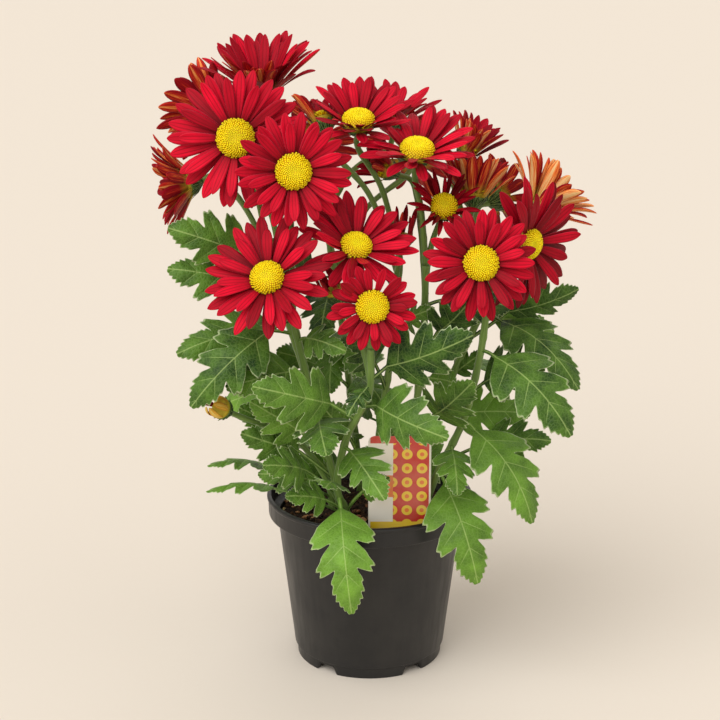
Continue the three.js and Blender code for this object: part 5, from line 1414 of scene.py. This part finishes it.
class CHRYSANTHEMUM_OT_pot(bpy.types.Operator):
    """Turn the nursery pot, raise the notches of its foot and drill its drain holes"""

    bl_idname = "chrysanthemum.pot"
    bl_label = "Nursery pot"

    def execute(self, context):
        body = POT_HEIGHT - RIM_BAND
        top = RIM_RADIUS - 1 - BAND_STEP
        profile = rounded([
            (FLOOR_MIDDLE, FLOOR_HEIGHT), (FOOT_RADIUS - WALL * 2, FLOOR_HEIGHT),
            (FOOT_RADIUS - WALL * 2, 0), (FOOT_RADIUS, 0), (FOOT_RADIUS + 0.2, FOOT_HEIGHT),
            (BODY_FOOT_RADIUS, FOOT_HEIGHT + 0.6), (top - 0.3, body - 3.2),
            (top + 0.2, body - 2), (RIM_RADIUS - 1.2, body - 0.6),
            (RIM_RADIUS - 1, body + 0.4), (RIM_RADIUS - 0.8, POT_HEIGHT - 2.8),
            (RIM_RADIUS, POT_HEIGHT - 2.2), (RIM_RADIUS, POT_HEIGHT - 0.7),
            (RIM_RADIUS - 0.8, POT_HEIGHT), (RIM_RADIUS - 2.6, POT_HEIGHT),
            (RIM_RADIUS - 3.1, POT_HEIGHT - 1.4), (RIM_RADIUS - 3.4, body + 1.6),
            (top - WALL, body - 0.6), (BODY_FOOT_RADIUS - WALL, FLOOR_HEIGHT + WALL * 2),
            (BODY_FOOT_RADIUS - WALL * 2, FLOOR_HEIGHT + WALL),
            (FLOOR_MIDDLE, FLOOR_HEIGHT + WALL)], 0.5)
        # Rings lie close beside each notch's ends, where the foot's lower edge climbs
        middles = (np.arange(FEET) + 0.5) * 2 * math.pi / FEET - math.pi / 2
        half = NOTCH_WIDTH / 2 / FOOT_RADIUS
        ramp = np.array([-0.045, -0.035, -0.02, -0.005, 0.008, 0.02])
        ends = (middles[:, None, None] + np.array([-1, 1])[:, None] * (half + ramp)).ravel()
        even = np.linspace(0, 2 * math.pi, 145)[:-1]
        turn = np.sort(np.concatenate([even, ends % (2 * math.pi)]))
        away = np.abs((turn[:, None] - middles + math.pi) % (2 * math.pi) - math.pi).min(axis=1)
        climb = NOTCH_HEIGHT * np.clip((half + 0.012 - away) / 0.05, 0, 1) ** 0.8
        low = profile[:, 1] < NOTCH_HEIGHT
        height = np.where(low[:, None], np.maximum(profile[:, 1:], climb), profile[:, 1:])
        radius = profile[:, :1]
        rings = np.stack([radius * np.cos(turn), radius * np.sin(turn), height], axis=-1)
        shell = Shell(moulded_polypropylene)
        shell.add(rings[None], (0, 0, FLOOR_HEIGHT), (0, 0, FLOOR_HEIGHT + WALL))
        pot = shell.make("pot_moulding", ["pot"])
        # The drain holes are drilled right through the floor
        drills = Shell(moulded_polypropylene)
        turn = once_round(20)
        circle = np.stack([np.cos(turn), np.sin(turn), 0 * turn], axis=-1) * DRAIN_RADIUS
        middle = np.stack([np.cos(middles), np.sin(middles), 0 * middles], axis=-1) * DRAIN_RING
        levels = np.array([FLOOR_HEIGHT - 2, FLOOR_HEIGHT + WALL + 2])[:, None] * UP
        rings = middle[:, None, None] + circle + levels[:, None]
        drills.add(rings, middle + levels[0], middle + levels[1])
        drill = drills.make("pot_drills", [])
        cut = pot.modifiers.new("drain_holes", "BOOLEAN")
        cut.operation, cut.solver, cut.object = "DIFFERENCE", "EXACT", drill
        drained = bpy.data.meshes.new_from_object(
            pot.evaluated_get(context.evaluated_depsgraph_get()))
        pot.modifiers.clear()
        pot.data = drained
        bpy.data.objects.remove(drill)
        return {"FINISHED"}


class CHRYSANTHEMUM_OT_soil(bpy.types.Operator):
    """Heap crumbly peat in the pot and scatter crumbs and bark chips over it"""

    bl_idname = "chrysanthemum.soil"
    bl_label = "Soil and bark"

    def execute(self, context):
        crumb = context.scene.chrysanthemum.crumb / MM
        draw = np.random.default_rng(41)
        low = FLOOR_HEIGHT + WALL * 2
        rise = POT_HEIGHT - RIM_BAND - 0.6 - low
        slope = (RIM_RADIUS - 1 - BAND_STEP - BODY_FOOT_RADIUS) / rise
        wall = np.array([low, 40.0, SOIL_EDGE_HEIGHT - 4.0])
        edge = BODY_FOOT_RADIUS - WALL + slope * (wall - low) - 0.6
        share = np.linspace(1, 0.02, 44)
        radius = np.concatenate([[20.0, edge[0] - 4], edge, share * (edge[-1] - 0.3)])
        height = np.concatenate([[low - 0.6, low - 0.6], wall,
                                 SOIL_EDGE_HEIGHT + SOIL_MOUND * (1 - share ** 2)])
        turn = once_round(150)
        x, y = radius[:, None] * np.cos(turn), radius[:, None] * np.sin(turn)
        rough = bumps(x, y, 0 * x, (9, 5, 3), 7) * crumb
        z = height[:, None] + np.where(np.arange(len(radius))[:, None] < 5, 0, rough)
        shell = Shell(damp_peat, composted_bark)
        top = (0, 0, SOIL_EDGE_HEIGHT + SOIL_MOUND)
        shell.add(np.stack([x, y, z], axis=-1)[None], (0, 0, low - 0.6), top, tone=np.array([0.0]))
        # Crumbs of peat, then chips of bark and wood, lying flat: how many, their least and
        # most half length, how flat, their finish and their seed
        for count, sizes, flat, finish_index, seed in ((420, (0.7, 1.9), 0.75, 0, 3),
                                                       (110, (1.4, 3.4), 0.36, 1, 4)):
            far = (SOIL_RADIUS - 1) * np.sqrt(draw.uniform(0, 1, count))
            spin = draw.uniform(0, 2 * np.pi, count)
            size = draw.uniform(*sizes, (count, 1)) * np.column_stack([
                np.ones(count), draw.uniform(0.45, 0.9, count), np.full(count, flat)])
            ground = SOIL_EDGE_HEIGHT + SOIL_MOUND * (1 - (far / SOIL_RADIUS) ** 2)
            centre = np.column_stack([far * np.cos(spin), far * np.sin(spin),
                                      ground + size[:, 2] * 0.5])
            lean = np.column_stack([draw.uniform(0, 6.28, count), draw.normal(0, 0.35, count)])
            shell.add(*lumps(centre, size, lean, seed), finish_index,
                      tone=draw.uniform(-1, 1, count))
        shell.make("soil_and_bark", ["soil"])
        return {"FINISHED"}


class CHRYSANTHEMUM_OT_label(bpy.types.Operator):
    """Cut the label's card with its round corners and stake, and ease its edges"""

    bl_idname = "chrysanthemum.label"
    bl_label = "Plant label"

    def execute(self, context):
        half, stake = TAG_WIDTH / 2, STAKE_WIDTH / 2
        turn = np.linspace(0, math.pi / 2, 9)
        corner = np.column_stack([np.cos(turn), np.sin(turn)]) * TAG_CORNER
        right = corner + (half - TAG_CORNER, TAG_TOP - TAG_CORNER)
        left = right[::-1] * (-1, 1)
        foot = [(-half, TAG_BOTTOM + 0.8), (-half + 0.8, TAG_BOTTOM), (-stake, TAG_BOTTOM),
                (-stake, STAKE_DEPTH + 6), (-0.6, STAKE_DEPTH), (0.6, STAKE_DEPTH),
                (stake, STAKE_DEPTH + 6), (stake, TAG_BOTTOM), (half - 0.8, TAG_BOTTOM),
                (half, TAG_BOTTOM + 0.8)]
        outline = np.vstack([right, left, foot])
        middle = np.array([0, (TAG_TOP + TAG_BOTTOM) / 2])
        ease = 0.2
        inner = outline - np.sign(outline - middle) * ease
        depth = TAG_THICKNESS / 2
        layers = [(inner, -depth), (outline, -depth + ease), (outline, depth - ease),
                  (inner, depth)]
        rings = np.stack([np.column_stack([TAG_CENTRE[0] + ring[:, 0],
                                           np.full(len(ring), TAG_CENTRE[1] + at), ring[:, 1]])
                          for ring, at in layers])
        ends = [(TAG_CENTRE[0], TAG_CENTRE[1] + at, middle[1]) for at in (-depth, depth)]
        shell = Shell(varnished_print_card)
        shell.add(rings[None], *ends)
        card = shell.make("label_card", ["tag"])
        card.data.polygons.foreach_set("use_smooth", np.zeros(len(card.data.polygons), bool))
        return {"FINISHED"}


class CHRYSANTHEMUM_OT_foliage(bpy.types.Operator):
    """Grow the stems with their stalks, bracts and lobed leaves, one piece a stem"""

    bl_idname = "chrysanthemum.foliage"
    bl_label = "Stems and leaves"

    def execute(self, context):
        look = context.scene.chrysanthemum
        _, leaves = planting()
        seed = FOLIAGE_SEED
        for name in STEMS:
            shell = Shell(ribbed_green_stem, downy_lobed_leaf)
            path = smooth_path(stem_points(name), 90)
            taper = STEM_RADIUS * np.linspace(1.05, 0.86, 90)
            add_stem(shell, path, taper, 0, seed)
            for bloom in [*BLOOMS, *BUDS]:
                if bloom.stem != name:
                    continue
                seed += 1
                stalk = smooth_path(stalk_points(bloom), 32)
                flare = STALK_RADIUS * (1 + 0.25 * np.linspace(-1, 1, 32) ** 8)
                add_stem(shell, stalk, flare, 0, seed, around=10)
                add_calyx(shell, bloom, 0, 1, seed)
            for leaf in leaves[name]:
                seed += 1
                # Painted light and shade: leaves are drawn lighter the lower they hang and darker
                # high in the crown, on top of a random tone of their own
                draw = np.random.default_rng(seed)
                low = np.clip((175 - leaf["tip"][2]) / 150, -0.3, 0.25)
                tone = low + draw.uniform(-0.35, 0.35)
                add_leaf(shell, leaf, 1, look.leaf_thickness / MM, look.leaf_wave / MM, tone,
                         seed)
            shell.make("foliage_" + name, ["stem_" + name])
        return {"FINISHED"}


class CHRYSANTHEMUM_OT_blooms(bpy.types.Operator):
    """Open the blooms and buds: a piece of petals each, and a piece of florets for each disc"""

    bl_idname = "chrysanthemum.blooms"
    bl_label = "Blooms and buds"

    def execute(self, context):
        look = context.scene.chrysanthemum
        petals, _ = planting()
        for k, bloom in enumerate([*BLOOMS, *BUDS]):
            rays = Shell(velvety_ray_petal)
            add_hub(rays, bloom)
            add_petals(rays, bloom, petals[bloom.name], look.petal_thickness / MM,
                       PETAL_SHAPE_SEED + k)
            rays.make(bloom.name + "_petals", [bloom.name + "_rays"])
            if bloom.name not in SLIM:
                disc = Shell(waxy_disc_floret)
                add_florets(disc, bloom, look.floret_width / MM, FLORET_SEED + k)
                disc.make(bloom.name + "_florets", [bloom.name + "_disc"])
        return {"FINISHED"}


class CHRYSANTHEMUM_OT_stage(bpy.types.Operator):
    """Lay the studio floor and set the lights and the camera"""

    bl_idname = "chrysanthemum.stage"
    bl_label = "Studio"

    def execute(self, context):
        scene = context.scene
        turn = once_round(64)
        edge = np.column_stack([np.cos(turn), np.sin(turn), 0 * turn]) * FLOOR_REACH
        mesh = bpy.data.meshes.new("studio_floor")
        mesh.from_pydata(edge.tolist(), [], [list(range(len(edge)))])
        mesh.materials.append(seamless_backdrop_paper())
        floor = bpy.data.objects.new("studio_floor", mesh)
        scene.collection.objects.link(floor)
        for name, strength, spread, place in LAMPS:
            lamp = bpy.data.lights.new("studio_" + name, "SUN")
            lamp.energy, lamp.angle = strength, math.radians(spread)
            light = bpy.data.objects.new("studio_" + name, lamp)
            direction = -unit(np.array(place))
            light.rotation_mode = "QUATERNION"
            light.rotation_quaternion = Vector(direction).to_track_quat("-Z", "Y")
            scene.collection.objects.link(light)
        world = bpy.data.worlds.new("studio_air")
        scene.world = world
        world.use_nodes = True
        air = world.node_tree.nodes["Background"]
        air.inputs["Color"].default_value = solid_colour("#fbf3e8")
        air.inputs["Strength"].default_value = AIR_STRENGTH
        camera = bpy.data.cameras.new("photo_camera")
        camera.lens, camera.sensor_width = CAMERA_LENS, CAMERA_SENSOR
        eye = bpy.data.objects.new("photo_camera", camera)
        eye.location = CAMERA_PLACE
        eye.rotation_euler = (math.radians(90 - CAMERA_DOWN), 0, 0)
        scene.collection.objects.link(eye)
        scene.camera = eye
        scene.view_settings.view_transform = "Standard"
        return {"FINISHED"}


STEPS = (CHRYSANTHEMUM_OT_pot, CHRYSANTHEMUM_OT_soil, CHRYSANTHEMUM_OT_label,
         CHRYSANTHEMUM_OT_foliage, CHRYSANTHEMUM_OT_blooms, CHRYSANTHEMUM_OT_stage)


class CHRYSANTHEMUM_PT_panel(bpy.types.Panel):
    """Lists the colours, the sizes and the steps that make the plant's looks"""

    bl_idname = "CHRYSANTHEMUM_PT_panel"
    bl_label = "Garden chrysanthemum"
    bl_space_type = "VIEW_3D"
    bl_region_type = "UI"
    bl_category = "Chrysanthemum"

    def draw(self, context):
        look = context.scene.chrysanthemum
        for key in ChrysanthemumSettings.__annotations__:
            self.layout.prop(look, key)
        for step in STEPS:
            self.layout.operator(step.bl_idname)


def register():
    """Registers the classes and hangs the settings on the scene."""
    for kind in (ChrysanthemumSettings, *STEPS, CHRYSANTHEMUM_PT_panel):
        bpy.utils.register_class(kind)
    bpy.types.Scene.chrysanthemum = PointerProperty(type=ChrysanthemumSettings)


def unregister():
    """Takes the settings off the scene again and unregisters the classes."""
    del bpy.types.Scene.chrysanthemum
    for kind in (CHRYSANTHEMUM_PT_panel, *reversed(STEPS), ChrysanthemumSettings):
        bpy.utils.unregister_class(kind)


def main():
    """Makes every piece in order."""
    register()
    for step in STEPS:
        group, name = step.bl_idname.split(".")
        getattr(getattr(bpy.ops, group), name)()


if __name__ == "__main__":
    main()
